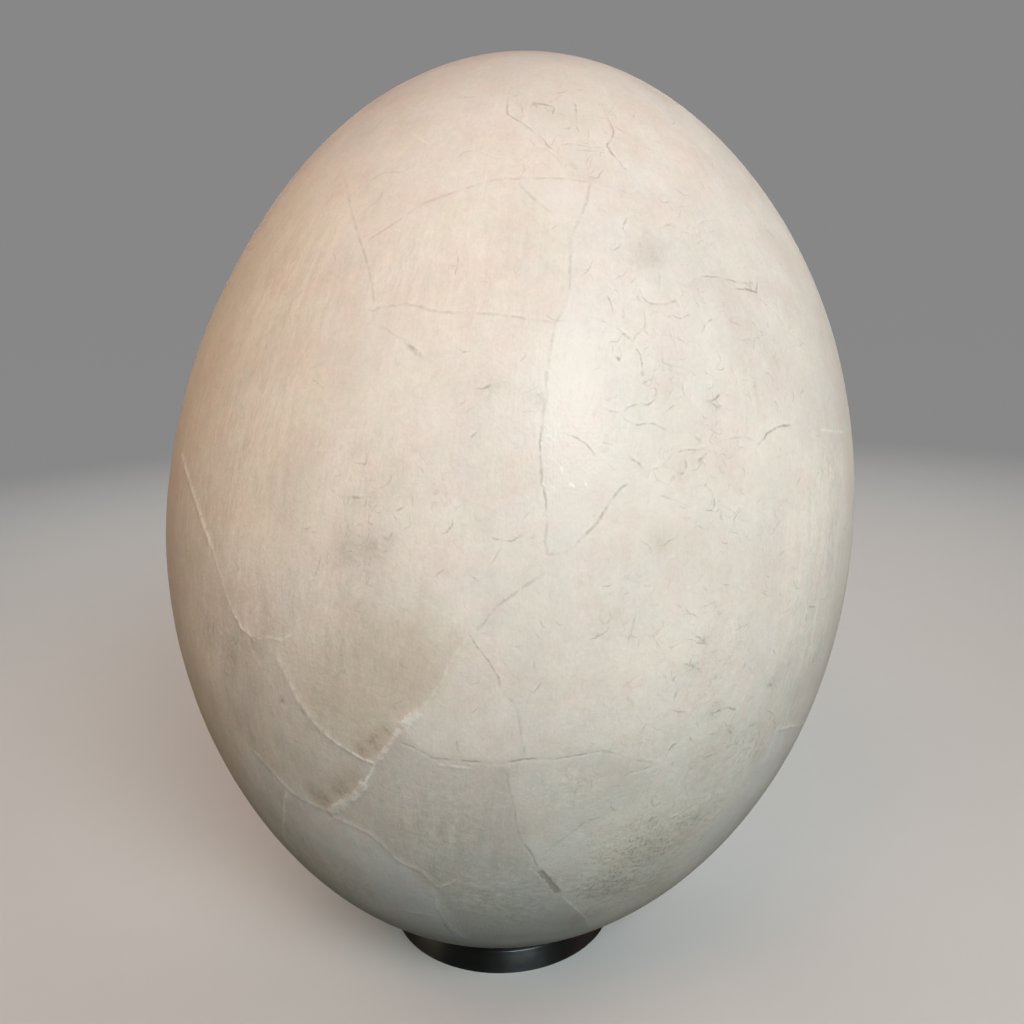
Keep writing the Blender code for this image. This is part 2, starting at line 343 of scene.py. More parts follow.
# Lines on the front, in pixels of the picture
PICTURE_LINES: dict[str, Lines] = {
    "central_seam_top": Lines(LineKind.FAINT_SEAM, """
        590,183 587,201 579,221 571,237 570,260 570,288 565,304 556,322 551,345 547,371 545,398 542,423 / 519,183
        531,196 540,204 551,212 / 546,513 547,526 545,541 548,555 560,554 573,549"""),
    "central_seam_foot": Lines(LineKind.SEAM, """
        542,423 540,444 541,465 542,484 546,500 546,513 / 573,549 582,538 593,528 600,519 609,503 620,490 629,482"""),
    "crown_arc": Lines(LineKind.FAINT_SEAM, """
        367,240 382,231 400,219 414,208 430,200 444,195 462,189 478,184 499,179 530,178 560,178 590,182 / 344,175
        347,189 352,214 358,235 365,256 372,283 374,299 369,311 / 369,311 385,307 405,304 421,307 435,311 459,313
        498,314 530,319 554,323"""),
    "lower_diagonal": Lines(LineKind.FAINT_SEAM, """
        547,572 532,581 521,589 500,604 490,614 483,625 471,633 / 502,693 514,704 519,718 521,734 525,755 /
        533,857 544,854 558,843 576,830 586,821 602,818 / 600,751 617,754 628,759 656,763"""),
    "upright_diagonal": Lines(LineKind.HAIR_CRACK, "468,632 477,647 491,665 499,679 502,693"),
    "diagonal_filling": Lines(LineKind.THIN_FILLING, """
        256,638 269,637 281,640 292,634 / 439,888 456,880 / 435,892 437,908 446,921 455,932 467,939 / 562,896
        570,904 577,910 586,918 590,928 / 372,907 402,910 437,917 / 430,763 449,766 470,768 / 821,430 836,431
        844,432 / 208,538 213,552 219,572 226,595 232,609"""),
    "level_crack": Lines(LineKind.CRACK, """
        600,751 585,754 555,759 525,759 500,764 477,762 454,760 434,759 421,751 412,747 399,742 / 657,764 642,770
        632,772 622,777"""),
    "drop_crack": Lines(LineKind.SEAM, "514,806 515,816 517,829 523,843 531,853 538,868 / 441,920 447,929 456,939"),
    "drop_crack_top": Lines(LineKind.FAINT_SEAM, "506,768 509,787 514,808"),
    "gash": Lines(LineKind.GASH, "539,871 548,880 559,894"),
    "slash": Lines(LineKind.SLASH, "399,338 409,345 422,358"),
    "left_fading": Lines(LineKind.FAINT_PALE, """
        246,634 252,652 262,668 274,690 / 471,633 455,655 440,684 / 408,585 422,599 431,606 449,617 468,632 /
        440,684 433,695 424,706 419,712 / 777,732 768,755 757,768 747,787 / 797,652 795,670 792,690"""),
    "left_filling": Lines(LineKind.FILLING, """
        231,606 234,614 238,621 241,628 247,632 254,641 / 324,733 345,749 361,758 376,764"""),
    "limb_filling": Lines(LineKind.FILLING, """
        286,793 284,805 284,818 283,834 286,841 290,848 / 777,730 791,726 805,723"""),
    "left_edge_filling": Lines(LineKind.BROAD_FILLING, "181,453 186,470 192,490 199,513 206,534 211,548"),
    "left_soft_filling": Lines(LineKind.SOFT_FILLING, """
        276,655 288,680 297,699 311,719 324,733 / 249,747 265,763 283,784 297,797 311,804 326,810 / 331,816
        352,825 370,834 384,846 400,862 421,871 430,879 439,888"""),
    "thick_filling": Lines(LineKind.THICK_FILLING, "419,713 409,720 399,728 / 365,783 357,792 347,801 328,813"),
    "band_foot": Lines(LineKind.FILLING, "377,761 375,764 369,775 364,785"),
    "band_middle": Lines(LineKind.BAND, "401,726 394,738 388,746 382,755 377,762"),
    "pale_nicks": Lines(LineKind.PALE_HAIR, """
        527,870 538,870 / 412,132 419,138 429,144 / 415,77 389,94 366,116 337,147 / 807,606 804,624 / 838,367
        840,378 / 477,632 470,627 / 844,432 846,442 / 738,800 742,794 746,788 / 795,669 791,679 786,697 / 830,505
        829,530 826,556 / 836,560 833,590 / 815,640 810,662 / 751,780 746,787 / 808,455 811,466 / 826,445 829,460
        / 602,862 612,860 / 631,869 641,868 / 640,905 650,901 / 663,852 670,850"""),
    # Painted highlights: pale flecks where a lamp glints on the smooth middle of the shell
    "painted_glint_flecks": Lines(LineKind.PAINTED_GLINT, """
        543,481 544,486 / 554,481 555,493 / 569,483 576,487 / 586,483 587,490 / 562,468 562,474"""),
    "upper_left_faint": Lines(LineKind.FAINT_HAIR, """
        370,180 384,172 402,172 414,164 / 383,187 381,198 370,206 361,217"""),
    "crown_cracks": Lines(LineKind.HAIR_CRACK, """
        508,96 507,108 507,113 514,118 523,123 530,129 536,134 543,138 547,145 553,149 558,153 / 533,102 544,104
        552,106 555,108 553,112 552,116 / 573,101 576,105 576,113 577,122 577,128 580,132 / 658,197 662,202
        668,202 672,198 / 672,208 678,213 / 665,225 672,224 / 690,223 688,228 / 613,250 618,248 622,243 / 628,217
        623,225 624,231 / 603,287 607,293 611,302 613,312 / 640,289 644,298 649,303 661,304 670,303 676,300
        680,307"""),
    "crown_crack": Lines(LineKind.CRACK, """
        607,113 608,118 611,123 614,130 612,138 607,145 610,150 615,157 620,162 623,167 628,170"""),
    "crown_network": Lines(LineKind.FAINT_HAIR, """
        533,133 530,140 535,146 544,150 553,143 556,136 / 557,152 560,145 570,143 582,145 593,147 603,147 /
        548,150 556,157 562,164 / 520,122 523,112 521,104 / 580,132 572,137 560,135 / 597,152 588,158 586,165 /
        630,103 636,105 641,111 / 610,135 602,130 / 645,133 648,139 660,142 667,145 / 683,147 690,152 / 600,117
        608,118 / 609,113 613,107 616,102 / 640,95 650,104 / 661,157 668,165 670,173 / 486,118 492,126 488,133 /
        620,190 632,194 640,190 / 700,180 706,190 / 480,152 494,158 / 455,160 463,152 474,150 / 596,205 606,212"""),
    "right_network": Lines(LineKind.FAINT_HAIR, """
        657,360 654,375 650,388 / 683,378 683,392 690,402 / 640,385 648,380 656,378 / 690,300 684,310 676,314 /
        660,318 668,322 670,330 / 700,370 712,376 / 672,390 668,398 / 718,352 722,360 716,368 / 608,322 604,332 /
        646,440 640,447 630,446 / 612,430 606,438 / 603,442 615,446 / 655,398 657,390 654,383 / 661,467 668,460
        673,454 / 663,362 675,367 / 682,365 688,372 / 700,345 702,349 / 752,346 755,349 / 730,320 735,323 743,325
        / 717,443 733,438 747,437 757,443 / 790,390 795,393 793,403 / 773,400 778,403 778,412 / 648,493 652,498
        648,503 / 693,488 703,485 / 740,466 746,472 744,480 / 760,370 770,374 774,382 / 724,392 732,388 / 728,508
        736,514 / 690,530 698,526 706,530 / 640,540 650,546 652,554 / 720,552 714,562 / 760,590 768,596 / 643,585
        652,586 / 703,587 708,592 / 738,587 742,592 / 780,593 783,597 / 676,604 684,610 / 712,612 718,606 /
        655,640 662,650 / 612,668 620,662 / 738,690 746,694 / 652,720 660,716 / 600,700 606,708 / 575,660 584,656
        / 560,700 566,694 / 640,330 648,324"""),
    "worms": Lines(LineKind.HAIR_CRACK, """
        603,408 613,412 622,413 628,407 640,403 648,405 655,399 / 622,413 625,420 637,425 653,423 663,428 670,433
        / 664,413 675,405 / 559,432 575,437 586,443 595,455 / 712,447 707,453 698,462 / 646,472 653,469 661,467 /
        673,454 685,450 697,450 710,447 / 685,457 687,467 682,475 677,472 / 660,495 670,498 680,502 687,506 /
        679,503 680,508 688,508 / 706,510 713,511 / 713,318 705,325 702,333 / 670,335 677,338 685,342 / 710,402
        718,407 / 642,330 635,337 632,343 / 683,663 693,667 703,673 / 695,635 703,640 / 725,723 730,731 733,736 /
        727,732 733,725 / 710,735 717,733 / 652,798 653,808 663,801 / 610,810 617,809 / 592,858 597,860 / 627,849
        633,846 / 705,635 704,642 / 651,470 647,478 / 705,484 713,494 715,504 712,512 / 768,523 765,528 761,534
        762,540 / 763,547 764,558 / 781,448 782,453 / 792,476 792,484 / 801,478 798,484 / 807,613 806,624 /
        808,607 816,607 / 767,675 765,680 767,686 / 767,711 774,714 776,721 775,730 / 733,724 726,728 732,734 /
        774,650 776,655 / 823,648 824,653 / 761,776 764,779 / 384,328 399,338 / 692,659 689,668 / 748,648 750,652
        / 746,662 744,668 / 676,676 673,682 / 697,723 699,728 / 639,826 645,822 / 603,842 609,845 / 674,818
        683,814 / 704,574 696,584 / 668,559 682,558 / 724,585 731,585 / 648,605 661,605 / 600,621 605,626 611,619
        / 636,616 628,644 / 696,643 706,644 / 688,671 703,668 / 730,657 723,667 / 748,665 752,672 / 671,710
        678,712 689,712 / 678,689 674,701 / 688,735 693,742 / 705,758 719,753 / 591,859 609,859 / 648,827 653,816
        / 700,237 699,224 705,221 717,220 / 682,283 690,288 693,280 703,276 720,277 737,282 747,283 757,282 /
        635,346 640,353 642,363 643,369 / 659,268 660,276 659,285 660,293 / 760,298 777,314 788,332 797,338
        806,345 / 412,495 412,505 / 393,515 398,521 / 404,507 396,511 / 270,503 275,508 / 398,607 407,610 /
        320,557 317,570 311,583 / 229,476 231,479 / 387,542 392,533 / 435,576 443,570 / 471,576 479,582 / 491,538
        511,542 523,534 / 470,438 477,432 / 530,691 533,695 541,684 / 552,229 557,225 / 353,462 365,465 368,453 /
        356,526 363,522 362,530 / 338,888 360,902 / 290,848 297,852"""),
    "sharp_worms": Lines(LineKind.KNOT, """
        629,457 639,463 645,471 / 704,401 712,401 722,393 / 757,445 763,440 768,433 776,428 783,426 791,425 /
        735,288 747,289 757,292 758,282 / 477,388 484,389 491,385 / 668,753 672,746 677,743 / 713,714 721,710
        728,708 737,710 / 537,396 545,393 / 775,680 773,685 769,687 / 467,675 467,680 / 281,699 283,702 / 618,329
        623,333 628,337 632,340 / 775,311 778,315 / 351,497 360,498 373,497 / 378,535 385,538 390,539 / 646,826
        651,819 655,818 / 617,356 620,361 / 691,664 696,668"""),
}

# Lines of the sides and back, as degrees from -Y towards +X and millimetres above the egg's middle
SHELL_LINES: dict[str, Lines] = {
    "back_upright": Lines(LineKind.SEAM, """
        168,118 171,101 174,84 168,69 165,52 170,34 172,16 166,-3 163,-22 168,-41 170,-60 167,-82 162,-104"""),
    "back_level": Lines(LineKind.CRACK, """
        118,36 124,41 131,44 140,40 148,38 157,44 166,48 175,43 184,40 194,47 203,52 213,48 222,45"""),
    "back_slant": Lines(LineKind.FILLING, """
        224,-14 217,-25 210,-34 203,-36 196,-40 189,-49 182,-56 170,-60 / 88,60 92,49 96,38 93,24 92,10 97,-3
        101,-16 98,-44 / -92,84 -96,68 -98,52 -93,41 -90,30 -95,16 -97,2 -93,-14 -92,-30 -97,-46 -100,-62"""),
    "back_hook": Lines(LineKind.THICK_FILLING, "118,-46 124,-52 132,-49 140,-48 / 149,-62 152,-68 151,-78 149,-86"),
    "back_thin": Lines(LineKind.THIN_FILLING, """
        98,-32 107,-36 118,-46 / 140,-48 145,-55 149,-62 / 96,38 102,36 108,32 118,36 / 149,-86 150,-100 146,-118
        / -138,45 -131,38 -124,34 -117,37 -110,38 -103,44 -96,46 / 170,96 183,90 196,93 207,88 / -97,2 -106,-4
        -116,0 -126,-8"""),
    "back_faint": Lines(LineKind.FAINT_SEAM, """
        118,36 121,55 128,74 131,92 / 222,45 228,60 226,78 233,95 / 163,-22 150,-18 136,-24 122,-20 101,-16 /
        101,90 116,96 131,92 / 224,-14 233,-8 240,4 238,22 222,45 / -100,-62 -112,-70 -126,-68 / 70,98 84,92
        101,90 96,74 88,60 / 98,-44 92,-60 84,-74 86,-92 / -60,96 -74,90 -92,84 / -92,-30 -80,-34 -70,-30"""),
    "back_slash": Lines(LineKind.SLASH, "140,10 146,15 / -150,-34 -147,-42"),
    "back_worms": Lines(LineKind.HAIR_CRACK, """
        146,70 150,74 154,71 157,76 / 151,78 148,84 144,85 / 184,12 188,8 193,10 196,5 / 190,-10 187,-16 190,-21 /
        130,12 127,6 130,0 / 112,14 116,10 121,12 / 204,70 209,66 215,69 / -118,66 -113,62 -108,64 / -130,14
        -127,8 -122,10 -119,5 / 178,-78 182,-84 180,-90 / -140,-20 -136,-16 -132,-19 / 76,30 79,24 77,18 / 70,-10
        74,-14 79,-12 / 108,-66 112,-71 117,-69 / -76,60 -72,55 -75,49 / 198,-64 203,-60 209,-62 / 160,100 164,104
        170,102"""),
}

# Broken pieces of the front, in pixels of the picture
PICTURE_FRAGMENTS: dict[str, Fragment] = {
    "right_upper": Fragment("""
        590,183 579,221 570,260 570,288 556,322 547,371 540,444 546,500 546,555 573,549 600,519 629,482 645,471
        687,452 735,436 761,445 790,426 836,430 838,380 800,290 740,200 660,150""",
        lightness=0.004, warmth=-0.01, softness=1.0),
    "smooth_middle": Fragment("""
        560,300 548,371 542,444 546,500 546,545 575,535 600,500 606,450 600,390 590,330 580,290""",
        lightness=0.006, gloss=0.75, softness=5.0),
    "smooth_wedge": Fragment("""
        519,183 531,196 551,212 579,221 590,183 560,178""", lightness=0.012, warmth=-0.01, gloss=0.6),
    "upper_left": Fragment("""
        352,214 367,240 400,219 430,200 462,189 519,183 551,212 571,237 570,288 554,323 498,314 421,307 385,307
        369,311 372,283 358,235""", warmth=0.012),
    # The left side's extra warmth is partly the shell's own peach haze, partly painted warm light
    "left_haze_and_warm_light": Fragment("""
        290,190 200,330 175,460 200,580 270,560 330,400 350,260""", lightness=-0.012, warmth=0.045, softness=16.0),
    "left_limb_haze_and_warm_light": Fragment("""
        340,130 230,260 180,400 176,470 215,440 270,320 370,200""", lightness=0.01, warmth=0.05, softness=12.0),
    "upper_middle": Fragment("""
        490,200 510,330 560,400 680,400 790,370 760,260 640,180""", lightness=-0.06, warmth=-0.01, softness=14.0),
    "brown_side": Fragment("""
        254,641 276,655 297,699 324,733 376,764 391,747 400,727 434,693 470,640 440,590 400,560 340,580 290,610""",
        lightness=-0.064, warmth=0.018, lift=0.06, softness=2.5),
    "brown_heart": Fragment("""
        300,660 324,725 376,758 398,722 430,690 450,650 420,625 360,620""",
        lightness=-0.124, warmth=0.062, softness=9.0),
    "bright_right": Fragment("""
        660,600 620,700 700,740 760,700 800,600 835,480 800,470 780,560""",
        lightness=0.078, warmth=0.014, softness=8.0),
    "bright_limb": Fragment("""
        795,450 785,560 775,640 800,680 850,560 856,450""", lightness=0.06, softness=6.0),
    "bright_low": Fragment("""
        550,630 550,730 640,745 660,640""", lightness=0.062, warmth=0.014, softness=9.0),
    "bright_middle": Fragment("""
        400,505 400,570 440,640 510,660 555,610 555,505 480,490""", lightness=0.04, warmth=-0.006, softness=9.0),
    "left_wedge": Fragment("""
        235,618 276,655 297,699 324,733 376,764 366,781 329,814 297,797 249,747 222,690""",
        lightness=-0.138, warmth=0.004, lift=0.04, softness=1.6),
    "grey_front": Fragment("""
        400,732 421,750 454,760 500,764 507,769 514,810 524,843 539,870 562,896 590,928 467,939 435,892 400,862
        352,825 331,816 366,781""", lightness=-0.16, warmth=-0.004, softness=2.4),
    "foot_left": Fragment("""
        249,747 283,784 326,810 352,825 400,862 435,892 467,939 380,935 300,870 235,780""",
        lightness=-0.03, warmth=-0.08, lift=0.05, softness=1.6),
    "foot_right": Fragment("""
        507,769 555,759 600,751 656,763 640,800 600,820 560,845 533,857 518,831""",
        lightness=-0.05, gloss=0.2, softness=2.6),
    "rough_foot": Fragment("""
        600,820 650,795 705,800 706,850 690,885 630,930 590,938 572,905 580,860""",
        lightness=0.06, warmth=0.03, softness=5.0),
    "right_strip": Fragment("""
        777,728 805,722 830,690 815,770 750,850 700,885 703,840 725,815 747,787 765,755""",
        lightness=0.01, warmth=-0.036, gloss=0.6, softness=1.5),
}

# Broken pieces of the sides and back, as degrees and millimetres
SHELL_FRAGMENTS: dict[str, Fragment] = {
    "back_upper": Fragment("""
        118,36 131,44 148,38 166,48 165,52 174,84 168,118 131,92 128,74""", lightness=-0.03, warmth=0.03, lift=0.1),
    "back_right": Fragment("""
        166,48 184,40 203,52 222,45 226,78 233,95 207,88 170,96 174,84""",
        lightness=0.02, warmth=-0.02, lift=0.05, gloss=0.5),
    "back_lower": Fragment("""
        224,-14 210,-34 196,-40 182,-56 170,-60 163,-22 172,16 166,48 184,40 203,52 222,45 238,22 240,4""",
        lightness=-0.05, warmth=0.025),
    "side_wedge": Fragment("""
        101,-16 122,-20 136,-24 163,-22 170,-60 149,-62 140,-48 118,-46 98,-32""",
        lightness=-0.08, warmth=0.045, lift=0.1),
    "side_grey": Fragment("""
        98,-44 118,-46 140,-48 149,-62 149,-86 146,-118 86,-92 84,-74""", lightness=-0.06, warmth=-0.025),
    "far_side": Fragment("""
        -92,84 -98,52 -96,46 -110,38 -138,45 -134,70 -120,92""", lightness=-0.04, warmth=0.02, lift=0.08),
    "far_lower": Fragment("""
        -97,2 -126,-8 -140,-40 -126,-68 -100,-62 -92,-30""", lightness=-0.06, warmth=0.04, lift=0.05),
}

# Soft spots of the front, as pixels of the picture, radius in millimetres and strength
PICTURE_BLOTS: dict[str, Blots] = {
    "streaked_side": Blots(BlotKind.STREAKS, """
        240,440,34,0.8 225,620,34,1 280,300,26,0.7 470,260,22,0.45 320,610,22,0.8 195,530,28,1 400,270,14,0.7
        825,540,20,0.9 810,640,20,0.9 775,740,16,0.8 290,850,26,1 350,480,18,0.6 560,790,10,0.6 260,760,24,1
        450,840,26,0.6"""),
    "pitted_foot": Blots(BlotKind.PITS, """
        640,850,17,1 600,885,13,1 690,820,14,0.9 655,880,10,0.9 350,560,8,0.6 620,905,9,0.8 340,440,9,0.3
        650,250,9,0.5 500,900,22,0.6 340,880,18,0.5 430,820,18,0.4 575,786,9,0.6 750,750,14,0.6 220,640,16,0.6
        830,470,9,0.6 330,720,16,0.4 625,865,12,1 665,845,12,1 715,670,24,0.32 690,775,22,0.36 600,700,20,0.22
        805,540,14,0.3 640,760,16,0.28"""),
    "worm_field": Blots(BlotKind.WORMS, """
        650,410,24,0.75 700,470,26,0.8 660,540,22,0.7 640,300,22,0.7 710,270,22,0.6 760,340,20,0.6 600,130,18,0.5
        700,640,26,1 720,730,24,1 780,600,22,0.8 640,700,22,0.7 400,520,20,0.7 340,500,16,0.6 490,390,12,0.6
        600,600,18,0.4 660,800,20,0.7 460,680,18,0.3 560,140,18,0.8 690,400,34,1 730,520,26,0.9 680,330,26,0.9
        375,525,14,1 352,505,9,1 540,110,12,0.9 590,150,12,0.9"""),
    "dash_field": Blots(BlotKind.DASHES, """
        730,650,28,0.9 680,740,24,1 790,650,20,0.9 620,650,22,0.6 650,850,20,1 500,720,16,0.5 360,520,18,0.7
        760,460,24,0.7 250,560,18,0.5 660,250,16,0.6 390,500,12,0.6 490,390,10,0.8 640,360,20,0.7 600,120,14,0.5
        420,640,18,0.4 440,800,20,0.4 560,900,16,0.6 380,535,14,1"""),
    "brown_stains": Blots(BlotKind.BROWN, """
        373,744,2.6,1.9 362,751,2.4,1.8 385,731,2.2,1.5 341,789,4,1.7 322,799,3,1.8 352,778,3,1.2 330,700,3.2,0.5
        350,552,5,0.5 374,550,4,0.5 222,600,9,0.5 660,540,4,0.5 240,660,8,0.5 300,760,6,0.4 282,700,1,1.9
        315,703,2,0.4 280,490,9,0.35 650,250,5,0.5 640,860,13,0.7 600,890,9,0.7 210,630,7,0.5 200,560,6,0.4
        690,820,7,0.5 515,765,3,0.4 575,120,7,0.3 190,480,6,0.3 612,890,10,1 345,545,5,0.5 590,915,8,0.8
        376,739,2.2,1.8 312,790,2.6,1.2 645,890,8,0.6 665,860,7,0.4"""),
    "grey_stains": Blots(BlotKind.GREY, """
        488,390,3,0.7 500,386,2.4,0.6 537,398,2.4,0.8 656,256,2.4,0.8 660,280,2.4,0.6 752,287,1.9,1
        712,403,2.4,0.5 350,552,4,0.8 372,546,3.4,0.9 392,540,3,0.6 352,500,2.4,0.6 507,772,2.6,0.7
        512,812,2.6,0.5 520,830,3,0.4 718,711,3.4,0.6 775,685,2.4,0.8 640,870,10,0.4 604,890,10,0.9 690,835,7,0.4
        640,885,9,0.7 467,677,1.6,0.6 640,404,3,0.3 640,465,2.6,0.5 772,684,1.8,1.5 698,818,3,1.1 701,838,2.4,1
        716,710,2.2,1.4 693,668,2,1 706,640,1.8,1 730,731,1.8,1 654,822,2,1"""),
}

# Soft spots of the sides and back, as degrees, millimetres, radius and strength
SHELL_BLOTS: dict[str, Blots] = {
    "back_streaks": Blots(BlotKind.STREAKS, """
        150,80,30,0.8 200,-10,34,0.9 -100,20,30,0.9 110,60,24,0.6 100,-60,26,0.7"""),
    "back_pits": Blots(BlotKind.PITS, "130,-80,16,0.9 190,-96,14,0.7 -120,-90,16,0.8 210,110,12,0.4 112,-20,12,0.5"),
    "back_worms": Blots(BlotKind.WORMS, """
        150,76,22,0.9 190,4,26,0.9 120,8,24,0.8 -122,30,24,0.9 90,50,20,0.7 215,-40,24,0.8 -140,-20,24,0.8"""),
    "back_dashes": Blots(BlotKind.DASHES, """
        160,-10,34,0.9 100,20,28,0.8 210,-60,30,0.9 -110,-30,30,0.9 180,70,28,0.7 130,-60,24,0.8"""),
    "back_brown": Blots(BlotKind.BROWN, """
        121,-44,4,0.8 146,-66,5,0.7 182,-52,6,0.6 100,-8,7,0.5 -98,-20,8,0.5 172,30,8,0.3 200,60,10,0.3
        -130,50,10,0.4 150,-100,9,0.4 90,100,9,0.2"""),
    "back_grey": Blots(BlotKind.GREY, """
        152,74,6,0.5 190,6,6,0.5 128,6,6,0.4 -122,10,7,0.5 130,-84,12,0.5 -118,-92,12,0.5 168,44,4,0.5
        165,-20,4,0.5 200,-100,12,0.4"""),
}


class ShellLine:
    """One line laid on the upright egg as closely spaced points."""

    STEP = 0.7 * MM
    RUN_ON = 1.2 * MM
    TAPER = 1.6 * MM
    CHUNK = 4000

    def __init__(self, shape: EggShape, points: np.ndarray, look: LineLook) -> None:
        """Lays the line.

        Args:
            shape: The egg that it lies on.
            points: Its corners, on the upright egg.
            look: Its section.
        """
        self.shape = shape
        self.look = look
        runs = np.linalg.norm(np.diff(points, axis=0), axis=1)
        marks = np.concatenate([[0.0], np.cumsum(runs)])
        steps = np.linspace(0.0, marks[-1], max(3, int(marks[-1] / self.STEP)))
        inner = np.stack([np.interp(steps, marks, points[:, axis]) for axis in range(3)], axis=1)
        first, last = inner[1] - inner[0], inner[-1] - inner[-2]
        start = inner[0] - first / np.linalg.norm(first) * self.RUN_ON
        end = inner[-1] + last / np.linalg.norm(last) * self.RUN_ON
        self.points = np.vstack([start, inner, end])
        self.length = marks[-1]

    def near(self, places: np.ndarray, reach: float) -> np.ndarray:
        """The numbers of the places inside the line's box, grown by reach."""
        low, high = self.points.min(axis=0) - reach, self.points.max(axis=0) + reach
        return np.nonzero(((places > low) & (places < high)).all(axis=1))[0]

    def measure(self, places: np.ndarray) -> tuple[np.ndarray, np.ndarray]:
        """Each place's distance from the line, to its left or right, and its run along it.

        Args:
            places: Points on or near the upright egg.

        Returns:
            The signed distances and the runs from the line's start, in metres.
        """
        distances, runs = np.empty(len(places)), np.empty(len(places))
        for begin in range(0, len(places), self.CHUNK):
            part = slice(begin, begin + self.CHUNK)
            distances[part], runs[part] = self._measure_part(places[part])
        return distances, runs

    def _measure_part(self, places: np.ndarray) -> tuple[np.ndarray, np.ndarray]:
        """The work of measure on a few places."""
        starts, legs = self.points[:-1], np.diff(self.points, axis=0)
        sizes = (legs * legs).sum(axis=1)
        offsets = places[:, None, :] - starts[None, :, :]
        along = np.clip((offsets * legs).sum(axis=-1) / sizes, 0.0, 1.0)
        gaps = np.linalg.norm(offsets - along[..., None] * legs, axis=-1)
        best = gaps.argmin(axis=1)
        each = np.arange(len(places))
        side = np.cross(legs[best], offsets[each, best])
        sign = np.sign((side * self.shape.normals(places)).sum(axis=1))
        lengths = np.sqrt(sizes)
        before = np.concatenate([[0.0], np.cumsum(lengths)[:-1]])
        run = before[best] + along[each, best] * lengths[best] - self.RUN_ON
        return gaps[each, best] * np.where(sign == 0, 1.0, sign), run

    def end_taper(self, runs: np.ndarray) -> np.ndarray:
        """How much of the line is left near its ends, from 0 to 1."""
        room = min(self.TAPER, self.length / 3)
        return smooth_step(runs, -room / 2, room) * smooth_step(self.length - runs, -room / 2, room)


